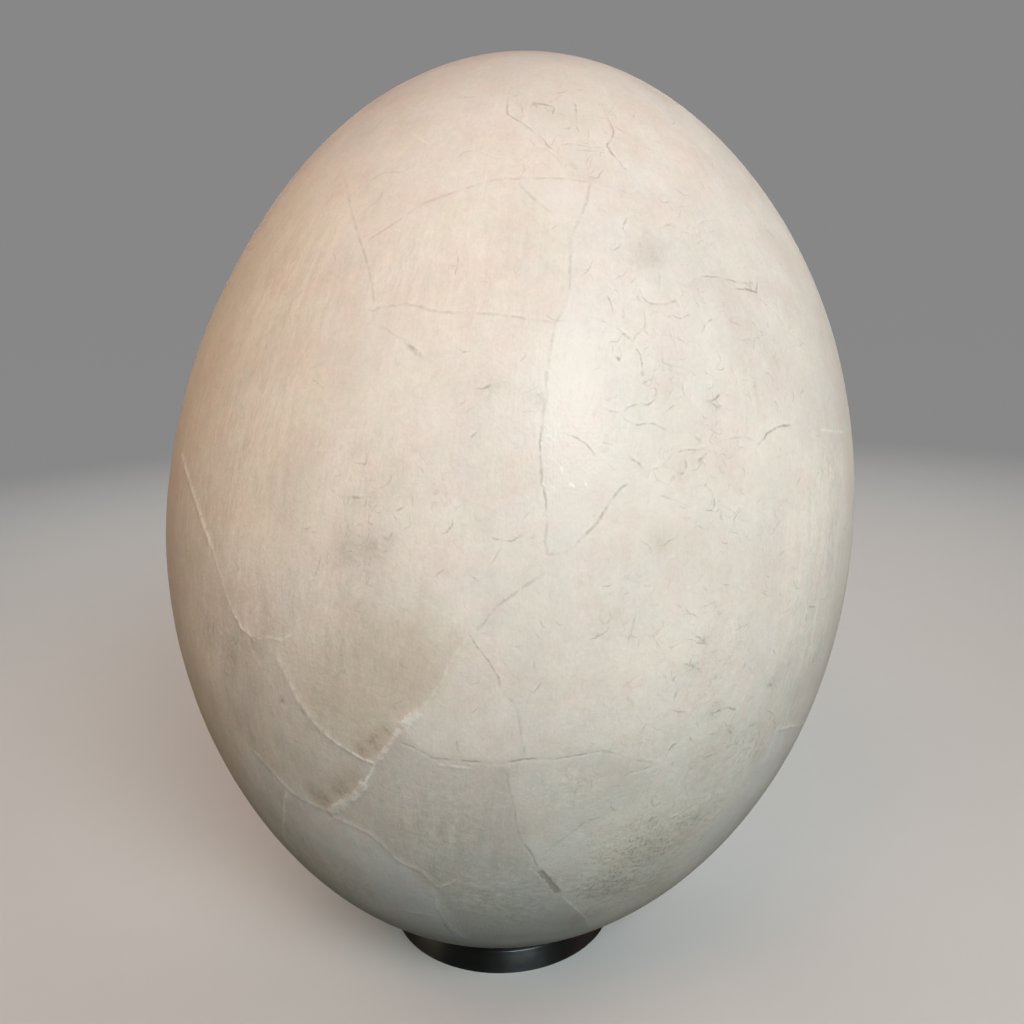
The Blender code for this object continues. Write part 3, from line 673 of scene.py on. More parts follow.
class ShellMarks:
    """Every line, fragment and soft spot of the shell, as numbers for each corner of its mesh."""

    LAYER_GAP = 4.0 * MM
    FIELD_REACH = 6.0 * MM
    WIDEST = 1.5
    CORE_ROOM = 0.7
    FADE = 0.9
    FAR = 20.0
    SEED = 11
    ROUNDS = 3
    STRAY = 0.13
    MM_PER_DEGREE = 1.9
    TINY = 1e-9

    def __init__(self, shape: EggShape, camera: PictureCamera) -> None:
        """Lays the marks of the picture and of the sides and back on the egg.

        Args:
            shape: The egg.
            camera: The camera of the picture that the front's marks are placed in.
        """
        self.shape = shape
        self.camera = camera
        chance = np.random.default_rng(self.SEED)
        self.lines = self._lay(PICTURE_LINES, lambda route: camera.cast(shape, route))
        self.lines += self._lay(SHELL_LINES, lambda route: shape.at(self._roughened(route, chance)))
        self.layers = self._layers()

    def _roughened(self, route: Route, chance: np.random.Generator) -> np.ndarray:
        """A route of the sides or back with its legs broken up, so that none of them runs straight.

        Args:
            route: Its corners as (degrees, millimetres).
            chance: Where the sideways steps come from.

        Returns:
            More corners, a row for each.
        """
        places = np.array(route, dtype=float) * (self.MM_PER_DEGREE, 1.0)
        for _ in range(self.ROUNDS):
            legs = np.diff(places, axis=0)
            sideways = np.stack([-legs[:, 1], legs[:, 0]], axis=1)
            steps = chance.uniform(-self.STRAY, self.STRAY, (len(legs), 1))
            middles = places[:-1] + legs / 2 + sideways * steps
            places = np.insert(places, range(1, len(places)), middles, axis=0)
        return places / (self.MM_PER_DEGREE, 1.0)

    def _lay(self, groups: dict[str, Lines], carry: Callable[[Route], np.ndarray]) -> list[ShellLine]:
        """Lays each route of the groups, with carry to take it on to the upright egg."""
        return [ShellLine(self.shape, carry(route), group.kind.value) for group in groups.values()
                for route in group.routes]

    def _layers(self) -> list[list[ShellLine]]:
        """Shares the lines out in layers, so that those of one layer keep clear of each other."""
        layers: list[list[ShellLine]] = []
        for line in sorted(self.lines, key=lambda item: -item.length):
            for layer in layers:
                if all(self._apart(line, other) for other in layer):
                    layer.append(line)
                    break
            else:
                layers.append([line])
        return layers

    def _apart(self, one: ShellLine, other: ShellLine) -> bool:
        """Whether two lines keep clear of each other."""
        room = self.LAYER_GAP + (one.look.half_width + other.look.half_width) * self.WIDEST * MM
        low, high = one.points.min(axis=0) - room, one.points.max(axis=0) + room
        if (other.points.max(axis=0) < low).any() or (other.points.min(axis=0) > high).any():
            return True
        gaps = np.linalg.norm(one.points[:, None] - other.points[None], axis=-1)
        return bool(gaps.min() > room)

    def line_field(self, layer: list[ShellLine], places: np.ndarray) -> np.ndarray:
        """A layer's lines, for its shader.

        Args:
            layer: Lines that keep clear of each other.
            places: The mesh's corners, on the upright egg.

        Returns:
            Signed distance in millimetres, tone and half width in millimetres, a row for each corner.
        """
        field = np.tile([self.FAR, 0.0, 1.0], (len(places), 1))
        for line in layer:
            near = line.near(places, self.FIELD_REACH)
            distance, run = line.measure(places[near])
            gap = np.abs(distance) / MM
            core = line.look.half_width * self.WIDEST + self.CORE_ROOM
            fade = 1 - smooth_step(gap, core, core + self.FADE)
            closer = gap < np.abs(field[near, 0])
            tone = line.look.tone * fade * line.end_taper(run)
            width = np.full(len(near), line.look.half_width)
            field[near[closer]] = np.stack([distance / MM, tone, width], axis=1)[closer]
        return field

    def relief(self, places: np.ndarray, raised: bool) -> np.ndarray:
        """The lines' relief in millimetres at each corner, of those that stand up or of those that cut in."""
        heights = np.zeros(len(places))
        for line in self.lines:
            look = line.look
            if look.rise == 0 or (look.rise > 0) != raised:
                continue
            near = line.near(places, look.rise_half_width * MM)
            distance, run = line.measure(places[near])
            across = np.clip(1 - (distance / MM / look.rise_half_width) ** 2, 0.0, 1.0) ** 2
            heights[near] = np.maximum(heights[near], abs(look.rise) * across * line.end_taper(run))
        return heights

    def _inside(self, outline: np.ndarray, places: np.ndarray) -> np.ndarray:
        """How far inside an outline the places lie.

        Args:
            outline: Corners as (degrees, millimetres).
            places: Places as (degrees, millimetres).

        Returns:
            Millimetres, less than 0 outside.
        """
        around = math.radians(1) * self.shape.width / 2 / MM
        flat, corners = places.copy(), outline.copy()
        for area in (flat, corners):
            area[:, 0] = ((area[:, 0] - outline[0, 0] + 180) % 360 - 180) * around
        inside = np.zeros(len(flat), dtype=bool)
        gap = np.full(len(flat), np.inf)
        for start, end in zip(corners, np.roll(corners, -1, axis=0)):
            leg = end - start
            offset = flat - start
            along = np.clip(offset @ leg / (leg @ leg), 0.0, 1.0)
            gap = np.minimum(gap, np.linalg.norm(offset - along[:, None] * leg, axis=1))
            crosses = (start[1] > flat[:, 1]) != (end[1] > flat[:, 1])
            level = start[0] + (flat[:, 1] - start[1]) * leg[0] / (leg[1] or self.TINY)
            inside ^= crosses & (flat[:, 0] < level)
        return np.where(inside, gap, -gap)

    def tints(self, places: np.ndarray) -> np.ndarray:
        """Lightness, warmth, lift and gloss from the fragments, a row for each corner."""
        flat = self.shape.place_of(places)
        total = np.zeros((len(places), 4))
        outlines = [(piece, self.shape.place_of(self.camera.cast(self.shape, rows(piece.outline))))
                    for piece in PICTURE_FRAGMENTS.values()]
        outlines += [(piece, np.array(rows(piece.outline))) for piece in SHELL_FRAGMENTS.values()]
        for piece, outline in outlines:
            share = smooth_step(self._inside(outline, flat), -piece.softness, piece.softness)
            total += share[:, None] * np.array([piece.lightness, piece.warmth, piece.lift, piece.gloss])
        return total

    def spots(self, places: np.ndarray) -> np.ndarray:
        """The strength of each kind of soft spot, a row for each corner and a column for each kind."""
        total = np.zeros((len(places), len(BlotKind)))
        ways = ((PICTURE_BLOTS, lambda spots: self.camera.cast(self.shape, spots)), (SHELL_BLOTS, self.shape.at))
        for group, carry in ((group, carry) for groups, carry in ways for group in groups.values()):
            spots = rows(group.spots)
            column = total[:, group.kind.value]
            for centre, (_, _, radius, strength) in zip(carry([spot[:2] for spot in spots]), spots):
                gap = np.linalg.norm(places - centre, axis=1) / (radius * MM)
                np.maximum(column, strength * np.exp(-gap * gap), out=column)
        return total


def only_this(piece: bpy.types.Object) -> None:
    """Deselects everything, then selects one piece and makes it active."""
    bpy.ops.object.select_all(action="DESELECT")
    piece.select_set(True)
    bpy.context.view_layer.objects.active = piece


def edit_faces(piece: bpy.types.Object, chosen: Iterable[bool]) -> None:
    """Goes into edit mode with only a piece's chosen faces selected."""
    only_this(piece)
    bpy.ops.object.mode_set(mode="EDIT")
    bpy.ops.mesh.select_mode(type="FACE")
    bpy.ops.mesh.select_all(action="DESELECT")
    bpy.ops.object.mode_set(mode="OBJECT")
    piece.data.polygons.foreach_set("select", chosen)
    bpy.ops.object.mode_set(mode="EDIT")


def named(name: str) -> bpy.types.Object:
    """The piece that was just added, which takes the name."""
    piece = bpy.context.object
    piece.name = piece.data.name = name
    return piece


def add_attribute(mesh: bpy.types.Mesh, name: str, values: np.ndarray) -> None:
    """Stores three numbers for each corner point under a name."""
    layer = mesh.attributes.new(name, "FLOAT_VECTOR", "POINT")
    layer.data.foreach_set("vector", np.ascontiguousarray(values, dtype=np.float32).ravel())


def triples(items: bpy.types.bpy_prop_collection, name: str) -> np.ndarray:
    """The three numbers that each item has under a name, one item a row."""
    values = np.empty(len(items) * 3)
    items.foreach_get(name, values)
    return values.reshape(-1, 3)


def move_corners(piece: bpy.types.Object, points: np.ndarray) -> None:
    """Moves a piece's vertices."""
    piece.data.vertices.foreach_set("co", points.ravel())
    piece.data.update()


def add_group(piece: bpy.types.Object, name: str, weights: np.ndarray) -> bpy.types.VertexGroup:
    """A vertex group from a weight for each vertex, in steps fine enough for relief.

    Args:
        piece: The piece to group.
        name: The group's name.
        weights: From 0 to 1.

    Returns:
        The group.
    """
    group = piece.vertex_groups.new(name=name)
    steps = np.round(weights * WEIGHT_STEPS).astype(int)
    for step in np.unique(steps[steps > 0]):
        group.add(np.nonzero(steps == step)[0].tolist(), float(step) / WEIGHT_STEPS, "REPLACE")
    return group


class Sheet:
    """A node tree, with short calls for the nodes that a finish is made of."""

    def __init__(self, tree: bpy.types.NodeTree) -> None:
        """Takes the tree to work on."""
        self.tree = tree

    @classmethod
    def material(cls, name: str) -> tuple[bpy.types.Material, "Sheet", bpy.types.Node]:
        """A new material, its sheet and its shader."""
        material = bpy.data.materials.new(name)
        material.use_nodes = True
        return material, cls(material.node_tree), material.node_tree.nodes["Principled BSDF"]

    def feed(self, node: bpy.types.Node, feeds: dict) -> None:
        """Fills a node's sockets, by name or number: a socket is linked, and a value is set."""
        for key, value in feeds.items():
            if isinstance(value, Socket):
                self.tree.links.new(value, node.inputs[key])
            else:
                node.inputs[key].default_value = value

    def add(self, kind: str, feeds: dict | None = None, **settings) -> bpy.types.Node:
        """Adds a node.

        Args:
            kind: Its type's name, after ShaderNode.
            feeds: What fills its sockets.
            **settings: Its properties.

        Returns:
            The node.
        """
        node = self.tree.nodes.new(f"ShaderNode{kind}")
        for name, value in settings.items():
            setattr(node, name, value)
        self.feed(node, feeds or {})
        return node

    def math(self, operation: str, *terms: Feed, **settings) -> Socket:
        """A Math node's result."""
        return self.add("Math", dict(enumerate(terms)), operation=operation, **settings).outputs[0]

    def chain(self, operation: str, *terms: Feed) -> Socket:
        """Several numbers taken together, one after another."""
        return reduce(lambda one, other: self.math(operation, one, other), terms)

    def product(self, *terms: Feed) -> Socket:
        """Several numbers multiplied."""
        return self.chain("MULTIPLY", *terms)

    def total(self, *terms: Feed) -> Socket:
        """Several numbers added."""
        return self.chain("ADD", *terms)

    def most(self, *terms: Feed) -> Socket:
        """The largest of several numbers."""
        return self.chain("MAXIMUM", *terms)

    def blend(self, *terms: Feed | tuple[Feed, Feed]) -> Socket:
        """Several terms added, after the two numbers of each pair are multiplied."""
        return self.total(*(self.product(*term) if isinstance(term, tuple) else term for term in terms))

    def less(self, one: Feed, other: Feed) -> Socket:
        """One number less another."""
        return self.math("SUBTRACT", one, other)

    def ratio(self, one: Feed, other: Feed) -> Socket:
        """One number divided by another."""
        return self.math("DIVIDE", one, other)

    def size(self, value: Feed) -> Socket:
        """A number without its sign."""
        return self.math("ABSOLUTE", value)

    def scaled(self, value: Feed, gain: Feed, offset: Feed) -> Socket:
        """A number multiplied by a gain and moved by an offset."""
        return self.math("MULTIPLY_ADD", value, gain, offset)

    def span(self, value: Feed, low: float, high: float, to_low: float = 0.0, to_high: float = 1.0) -> Socket:
        """A number's smooth way from one range to another."""
        feeds = {"Value": value, "From Min": low, "From Max": high, "To Min": to_low, "To Max": to_high}
        return self.add("MapRange", feeds, interpolation_type="SMOOTHSTEP").outputs["Result"]

    def within(self, spots: Feed, outside: float, inside: float) -> Socket:
        """A number's smooth way from its value outside soft spots to its value in their middle."""
        return self.span(spots, 0.0, 1.0, outside, inside)

    def vector(self, operation: str, *terms: Feed) -> Socket:
        """A Vector Math node's vector."""
        return self.add("VectorMath", dict(enumerate(terms)), operation=operation).outputs[0]

    def measure(self, operation: str, *terms: Feed) -> Socket:
        """A Vector Math node's number."""
        return self.add("VectorMath", dict(enumerate(terms)), operation=operation).outputs["Value"]

    def drift(self, where: Feed, scale: float, reach: float) -> Socket:
        """An uneven sideways move of up to about half of reach, which keeps a pattern from running true."""
        feeds = {"Vector": where, "Scale": scale, "Detail": 1.0, "Roughness": 0.75}
        cloud = self.add("TexNoise", feeds).outputs["Color"]
        return self.vector("MULTIPLY", self.vector("SUBTRACT", cloud, MIDDLE), (reach,) * 3)

    def noise(self, where: Feed, scale: Feed, detail: float, rough: float) -> Socket:
        """Cloudy noise from about 0.2 to 0.8."""
        feeds = {"Vector": where, "Scale": scale, "Detail": detail, "Roughness": rough}
        return self.add("TexNoise", feeds).outputs["Fac"]

    def swing(self, where: Feed, scale: Feed, detail: float, rough: float) -> Socket:
        """Cloudy noise about 0."""
        return self.less(self.noise(where, scale, detail, rough), 0.5)

    def stretched(self, where: Feed, scale: Triple, offset: Triple = (0.0, 0.0, 0.0)) -> Socket:
        """Places scaled by different amounts along each axis, and moved."""
        feeds = {"Vector": where, "Scale": scale, "Location": offset}
        return self.add("Mapping", feeds).outputs["Vector"]

    def mix(self, share: Feed, one: Feed, other: Feed, blend: str = "MIX") -> Socket:
        """Two colours mixed."""
        one, other = ((*colour, 1.0) if isinstance(colour, tuple) else colour for colour in (one, other))
        return self.add("Mix", {0: share, 6: one, 7: other}, data_type="RGBA", blend_type=blend).outputs[2]

    def joined(self, x: Feed, y: Feed, z: Feed) -> Socket:
        """Three numbers as a vector or colour."""
        return self.add("CombineXYZ", {0: x, 1: y, 2: z}).outputs[0]

    def parts(self, vector: Feed) -> tuple[Socket, ...]:
        """A vector's three numbers."""
        return tuple(self.add("SeparateXYZ", {0: vector}).outputs)

    def toned(self, colour: Feed, tone: Feed) -> Socket:
        """A colour made lighter or darker."""
        return self.mix(1.0, colour, self.joined(tone, tone, tone), "MULTIPLY")

    def attribute(self, name: str) -> Socket:
        """A mesh attribute as a vector."""
        return self.add("Attribute", attribute_name=name).outputs["Vector"]

    def group(self, tree: bpy.types.NodeTree, **feeds: Feed) -> list[Socket]:
        """The results of a node group in use."""
        return list(self.add("Group", feeds, node_tree=tree).outputs)

    def bump(self, height: Feed, strength: float) -> Socket:
        """The normals of a surface whose fine height is in millimetres."""
        return self.add("Bump", {"Height": height, "Distance": MM, "Strength": strength}).outputs[0]


class GroupSheet(Sheet):
    """The sheet of a shader node group."""

    def __init__(self, name: str, vectors: str, numbers: str, results: str) -> None:
        """Makes the group's sockets.

        Args:
            name: The group's name.
            vectors: The names of its vector inputs, with spaces between them.
            numbers: The names of its number inputs.
            results: The names of its outputs, which are numbers.
        """
        super().__init__(bpy.data.node_groups.new(name, "ShaderNodeTree"))
        for direction, kind, names in (("INPUT", "NodeSocketVector", vectors), ("INPUT", "NodeSocketFloat", numbers),
                                       ("OUTPUT", "NodeSocketFloat", results)):
            for socket in names.split():
                self.tree.interface.new_socket(name=socket, in_out=direction, socket_type=kind)
        inputs = self.tree.nodes.new("NodeGroupInput").outputs
        self.inputs = [inputs[socket] for socket in f"{vectors} {numbers}".split()]

    def put_out(self, **results: Socket) -> bpy.types.NodeTree:
        """Joins results to the group's outputs and gives the finished group."""
        self.feed(self.tree.nodes.new("NodeGroupOutput"), results)
        return self.tree


class Effects:
    """The node groups that the finishes share."""

    def __init__(self) -> None:
        """Makes each group once."""
        self.line = self._line()
        self.mottle = self._mottle()
        self.strokes = self._strokes()
        self.net = self._net()

    @staticmethod
    def _line() -> bpy.types.NodeTree:
        """A layer of lines: their dark and pale masks."""
        sheet = GroupSheet("line_marks", "Field", "Wander Breaks Crumb", "Dark Pale")
        field, wander, breaks, crumb = sheet.inputs
        distance, tone, half = sheet.parts(field)
        wide = sheet.span(half, 0.5, 1.0)
        off = sheet.size(sheet.total(distance, sheet.product(wander, sheet.scaled(half, 1.1, 0.45))))
        rim = sheet.ratio(off, sheet.product(half, sheet.scaled(crumb, 0.55, 0.58)))
        soft, crisp = sheet.span(rim, 1.5, 0.2), sheet.span(rim, 1.15, 0.75)
        core = sheet.scaled(wide, sheet.less(crisp, soft), soft)
        depth = sheet.most(sheet.product(tone, -1.0), 0.0)
        aside = sheet.size(sheet.less(distance, sheet.total(half, 0.45)))
        edge = sheet.product(sheet.span(aside, 0.6, 0.0), depth, 0.38, crumb)
        ragged = sheet.most(crumb, sheet.product(wide, 0.40))
        pale = sheet.product(core, sheet.most(tone, 0.0), ragged)
        return sheet.put_out(Dark=sheet.product(core, depth, sheet.most(breaks, wide)), Pale=sheet.most(pale, edge))

    @staticmethod
    def _mottle() -> bpy.types.NodeTree:
        """Cloudy unevenness about 0, at a coarse and a fine scale."""
        sheet = GroupSheet("mottle", "Vector", "Scale Coarse Fine", "Value")
        where, scale, coarse, fine = sheet.inputs
        large = sheet.swing(where, scale, 3.0, 0.55)
        small = sheet.swing(where, sheet.product(scale, 9.0), 2.0, 0.6)
        return sheet.put_out(Value=sheet.blend((large, coarse), (small, fine)))

    @staticmethod
    def _strokes() -> bpy.types.NodeTree:
        """Short curling strokes scattered one to a cell, some of them forked."""
        sheet = GroupSheet("strokes", "Vector Out", "Scale Width Share", "Value")
        where, out, scale, width, share = sheet.inputs
        cell = sheet.add("TexVoronoi", {"Vector": where, "Scale": scale, "Randomness": 0.9})
        chance = cell.outputs["Color"]
        bow, pick, fork = sheet.parts(chance)
        toward = sheet.vector("SUBTRACT", where, cell.outputs["Position"])
        gap = sheet.product(sheet.measure("LENGTH", toward), scale)
        tilted = sheet.vector("CROSS_PRODUCT", sheet.vector("SUBTRACT", chance, MIDDLE), out)
        aside = sheet.vector("NORMALIZE", tilted)
        ahead = sheet.vector("CROSS_PRODUCT", aside, out)
        across, along = (sheet.product(sheet.measure("DOT_PRODUCT", toward, way), scale) for way in (aside, ahead))
        curl = sheet.product(sheet.less(bow, 0.5), gap, gap, 2.2)

        thick = sheet.product(width, sheet.scaled(sheet.span(gap, 0.48, 0.10), 0.7, 0.3))
        stem_off = sheet.ratio(sheet.size(sheet.total(across, curl)), thick)
        stem = sheet.product(sheet.span(stem_off, 1.4, 0.2), sheet.span(gap, 0.48, 0.28))
        branch_off = sheet.ratio(sheet.size(sheet.less(sheet.blend((across, 0.6), (along, 0.8)), curl)), width)
        branch = sheet.product(sheet.span(branch_off, 1.1, 0.1), sheet.span(gap, 0.34, 0.06),
                               sheet.span(along, -0.02, 0.05), sheet.span(fork, 0.42, 0.50))
        kept = sheet.span(sheet.less(sheet.total(pick, share), 1.0), 0.0, 0.06)
        return sheet.put_out(Value=sheet.product(sheet.most(stem, branch), kept, sheet.scaled(bow, 0.7, 0.45)))

    @staticmethod
    def _net() -> bpy.types.NodeTree:
        """A net of fine cracks between cells."""
        sheet = GroupSheet("crack_net", "Vector", "Scale Width", "Value")
        where, scale, width = sheet.inputs
        cells = sheet.add("TexVoronoi", {"Vector": where, "Scale": scale}, feature="DISTANCE_TO_EDGE")
        return sheet.put_out(Value=sheet.span(sheet.ratio(cells.outputs["Distance"], width), 1.7, 0.2))


@dataclass(frozen=True)
class ShellFinish:
    """Dry, faintly glossy shell: cream, mottled, streaked from end to end, cracked and stained."""

    cream: Colour = (0.80, 0.743, 0.665)
    blush: Colour = (0.795, 0.700, 0.615)
    straw: Colour = (0.79, 0.738, 0.628)
    filling: Colour = (0.95, 0.92, 0.85)
    crack: Colour = (0.27, 0.23, 0.18)
    brown: Colour = (0.50, 0.41, 0.32)
    grey: Colour = (0.46, 0.44, 0.39)
    roughness: float = 0.50
    least_roughness: float = 0.3
    specular: float = 0.42
    foot_height: float = -0.11
    drift: tuple[float, float] = (240.0, 0.0028)
    net_drift: float = 2.2
    clouds: Noise = (48.0, 4.0, 0.76)
    tints: Noise = (70.0, 1.0, 0.6)
    flushes: Noise = (200.0, 1.0, 0.6)
    breaks: Noise = (240.0, 3.0, 0.65)
    lumps: Noise = (420.0, 3.0, 0.7)
    wander: Noise = (640.0, 2.0, 0.65)
    grains: Noise = (1100.0, 2.0, 0.65)
    swells: Noise = (480.0, 0.0, 0.5)
    teeth: Noise = (1200.0, 0.0, 0.5)
    fine_streaks: Triple = (1000.0, 1000.0, 190.0)
    broad_streaks: Triple = (340.0, 340.0, 60.0)
    worm: tuple[float, float] = (125.0, 0.034)
    wisp: tuple[float, float] = (260.0, 0.054)
    wisp_offset: Triple = (0.5, 0.3, 0.1)
    net: tuple[float, float] = (140.0, 0.024)

    def make(self, effects: Effects, layers: int) -> bpy.types.Material:
        """Makes the material.

        Args:
            effects: The shared node groups.
            layers: How many layers of lines the mesh carries.

        Returns:
            The material.
        """
        material, sheet, shader = Sheet.material("mended_shell")
        where, meridian = sheet.attribute("upright_place"), sheet.attribute("meridian_place")
        lightness, warmth, gloss = sheet.parts(sheet.attribute("fragment_tint"))
        streaks, pits, worms = sheet.parts(sheet.attribute("shell_wear"))
        brown, grey, dashes = sheet.parts(sheet.attribute("shell_dirt"))
        low = sheet.span(sheet.parts(where)[2], 0.0, self.foot_height)
        drift = sheet.drift(where, *self.drift)
        bent, bent_meridian = sheet.vector("ADD", where, drift), sheet.vector("ADD", meridian, drift)

        grain_noise, lump_noise = sheet.noise(bent, *self.grains), sheet.noise(bent, *self.lumps)
        streak_noise = sheet.noise(sheet.stretched(bent_meridian, self.fine_streaks), 1.0, 2.0, 0.66)
        breaks_noise = sheet.noise(where, *self.breaks)
        cloud, flush = sheet.swing(where, *self.clouds), sheet.swing(where, *self.flushes)
        grain, lump, streak = (sheet.less(noise, 0.5) for noise in (grain_noise, lump_noise, streak_noise))
        broad = sheet.swing(sheet.stretched(bent_meridian, self.broad_streaks), 1.0, 2.0, 0.6)
        tint = sheet.add("TexNoise", {"Vector": where, **dict(zip(("Scale", "Detail", "Roughness"), self.tints))})
        blush_noise, straw_noise, patch_noise = sheet.parts(tint.outputs["Color"])

        # The ground colour, then its warmth and unevenness
        colour = sheet.mix(sheet.span(blush_noise, 0.42, 0.66, 0.0, 0.75), self.cream, self.blush)
        colour = sheet.mix(sheet.span(straw_noise, 0.45, 0.68, 0.0, 0.5), colour, self.straw)
        # Greener and bluer towards the foot: partly the shell's own grey-green, partly painted cool shade
        warm = sheet.joined(
            sheet.scaled(flush, 0.06, sheet.scaled(warmth, 0.35, 1.0)),
            sheet.blend(1.0, (flush, -0.03), (warmth, -0.10), (low, 0.045)),
            sheet.blend(1.0, (warmth, -1.0), (low, 0.025)))
        colour = sheet.mix(1.0, colour, warm, "MULTIPLY")
        calm = sheet.scaled(gloss, -0.6, 1.0)
        uneven = sheet.blend((cloud, 0.28), (grain, 0.15), (streak, sheet.within(streaks, 0.12, 0.46)),
                             (broad, sheet.within(streaks, 0.08, 0.36)), (lump, sheet.within(pits, 0.14, 0.90)))
        colour = sheet.toned(colour, sheet.blend(1.0, lightness, (uneven, calm)))

        # Stains
        patchy = sheet.span(lump_noise, 0.40, 0.62)
        colour = sheet.mix(sheet.product(brown, sheet.scaled(patchy, 0.42, 0.26)), colour, self.brown)
        colour = sheet.mix(sheet.product(grey, sheet.scaled(patchy, 0.50, 0.06)), colour, self.grey)

        # Curling marks, fine cracks, pits and scratches
        out = sheet.add("NewGeometry").outputs["Normal"]
        thick_set = sheet.scaled(sheet.span(patch_noise, 0.40, 0.62), 0.7, 0.3)
        worm = sheet.group(effects.strokes, Vector=bent, Out=out, Scale=self.worm[0], Width=self.worm[1],
                           Share=sheet.product(sheet.scaled(worms, 0.95, 0.14), thick_set))[0]
        moved = sheet.vector("ADD", bent, self.wisp_offset)
        wisp = sheet.group(effects.strokes, Vector=moved, Out=out, Scale=self.wisp[0], Width=self.wisp[1],
                           Share=sheet.product(sheet.scaled(dashes, 0.75, 0.16), thick_set))[0]
        ways = sheet.vector("MULTIPLY_ADD", drift, (self.net_drift,) * 3, where)
        net = sheet.group(effects.net, Vector=ways, Scale=self.net[0], Width=self.net[1])[0]
        net_shown = sheet.product(sheet.span(breaks_noise, 0.48, 0.60), sheet.scaled(worms, 0.9, 0.06), thick_set)
        pit = sheet.span(sheet.less(grain_noise, sheet.scaled(pits, -0.14, 0.72)), 0.0, 0.05)
        scratch = sheet.span(sheet.scaled(pits, 0.07, streak_noise), 0.60, 0.74)
        scratch_share = sheet.blend(sheet.within(streaks, 0.08, 0.26), (pits, 0.30))
        crumbly = sheet.span(grain_noise, 0.40, 0.58, 0.30, 1.05)
        strokes = sheet.product(sheet.most(sheet.product(worm, 0.36), sheet.product(wisp, 0.32)), crumbly)
        fleck = sheet.most(strokes, sheet.product(net, net_shown, 0.32),
                           sheet.product(pit, sheet.within(pits, 0.26, 0.50)), sheet.product(scratch, scratch_share))
        colour = sheet.mix(sheet.product(fleck, calm), colour, self.crack)
        pale_scratch = sheet.product(sheet.span(streak_noise, 0.36, 0.24), sheet.within(streaks, 0.10, 0.35))
        colour = sheet.mix(pale_scratch, colour, self.filling)

        # The lines laid on the shell
        ragged = {"Wander": sheet.swing(where, *self.wander),
                  "Breaks": sheet.span(breaks_noise, 0.40, 0.60, 0.15, 1.0),
                  "Crumb": sheet.span(lump_noise, 0.38, 0.56, 0.25, 1.0)}
        masks = [sheet.group(effects.line, Field=sheet.attribute(f"lines_{layer}"), **ragged)
                 for layer in range(layers)]
        dark, pale = (sheet.most(0.0, *(mask[number] for mask in masks)) for number in range(2))
        # The pale mask also carries the glint flecks, painted highlights laid in the filling colour
        colour = sheet.mix(sheet.product(pale, 0.85), colour, self.filling)
        colour = sheet.mix(sheet.product(dark, 0.95), colour, self.crack)

        dull = sheet.blend(self.roughness, (gloss, -0.10), (cloud, 0.25), (grey, 0.06), (dark, 0.2), (pale, 0.12),
                           (streak, -0.12))
        brushed = sheet.swing(sheet.stretched(meridian, self.fine_streaks), 1.0, 1.0, 0.6)
        height = sheet.blend((sheet.swing(where, *self.teeth), 0.06), (brushed, 0.07),
                             (sheet.swing(where, *self.swells), sheet.within(pits, 0.03, 0.20)))
        sheet.feed(shader, {"Base Color": colour, "Roughness": sheet.most(dull, self.least_roughness),
                            "Specular IOR Level": self.specular, "Normal": sheet.bump(height, 0.8)})
        return material


@dataclass(frozen=True)
class RingFinish:
    """Satin steel, turned in a lathe: fine rings round its axis, dull spots and faint scratches."""

    # Both colours are darker than bare steel: a painted dark reflection of dim surroundings
    steel: Colour = (0.130, 0.133, 0.129)
    worn: Colour = (0.195, 0.197, 0.191)
    roughness: float = 0.37
    drawn_out: float = 0.82
    across_the_turning: float = 0.25
    turning: Noise = (5200.0, 2.0, 0.6)

    def make(self, effects: Effects, centre_x: float) -> bpy.types.Material:
        """Makes the material.

        Args:
            effects: The shared node groups.
            centre_x: The ring's axis, which the turning marks go round.

        Returns:
            The material.
        """
        material, sheet, shader = Sheet.material("turned_steel")
        where = sheet.add("TexCoord").outputs["Object"]
        x, y, z = sheet.parts(sheet.stretched(where, (1.0, 1.0, 1.0), (-centre_x, 0.0, 0.0)))
        section = sheet.joined(sheet.math("SQRT", sheet.blend((x, x), (y, y))), 0.0, z)
        lathe = sheet.swing(section, *self.turning)
        mottle = sheet.group(effects.mottle, Vector=where, Scale=120.0, Coarse=0.5, Fine=0.25)[0]
        out = sheet.add("NewGeometry").outputs["Normal"]
        scuffs = sheet.group(effects.strokes, Vector=where, Out=out, Scale=240.0, Width=0.03, Share=0.5)[0]
        worn = sheet.math("MULTIPLY_ADD", lathe, 1.2, sheet.total(mottle, 0.35), use_clamp=True)
        colour = sheet.mix(worn, self.steel, self.worn)
        height = sheet.blend((lathe, 0.012), (scuffs, -0.01))
        sheet.feed(shader, {
            "Base Color": sheet.mix(sheet.product(scuffs, 0.35), colour, self.worn), "Metallic": 1.0,
            "Anisotropic": self.drawn_out, "Anisotropic Rotation": self.across_the_turning,
            "Roughness": sheet.blend(self.roughness, (mottle, 0.25), (lathe, 0.12)),
            "Normal": sheet.bump(height, 1.0)})
        return material


@dataclass(frozen=True)
class FloorFinish:
    """Plain pale matt paint, which glows faintly far off so that the backdrop is even."""

    paint: Colour = (0.62, 0.62, 0.61)
    glow: Colour = (0.24, 0.24, 0.24)
    black: Colour = (0.0, 0.0, 0.0)
    glow_from: float = 0.20
    glow_full: float = 0.95
    roughness: float = 0.9

    def make(self, effects: Effects) -> bpy.types.Material:
        """Makes the material from the shared groups."""
        material, sheet, shader = Sheet.material("pale_paint")
        where = sheet.add("TexCoord").outputs["Object"]
        mottle = sheet.group(effects.mottle, Vector=where, Scale=9.0, Coarse=0.04, Fine=0.02)[0]
        far = sheet.span(sheet.measure("LENGTH", where), self.glow_from, self.glow_full)
        near = sheet.toned(self.paint, sheet.total(mottle, 1.0))
        sheet.feed(shader, {
            "Base Color": sheet.mix(far, near, self.black), "Emission Color": sheet.mix(far, self.black, self.glow),
            "Emission Strength": 1.0, "Roughness": self.roughness})
        return material


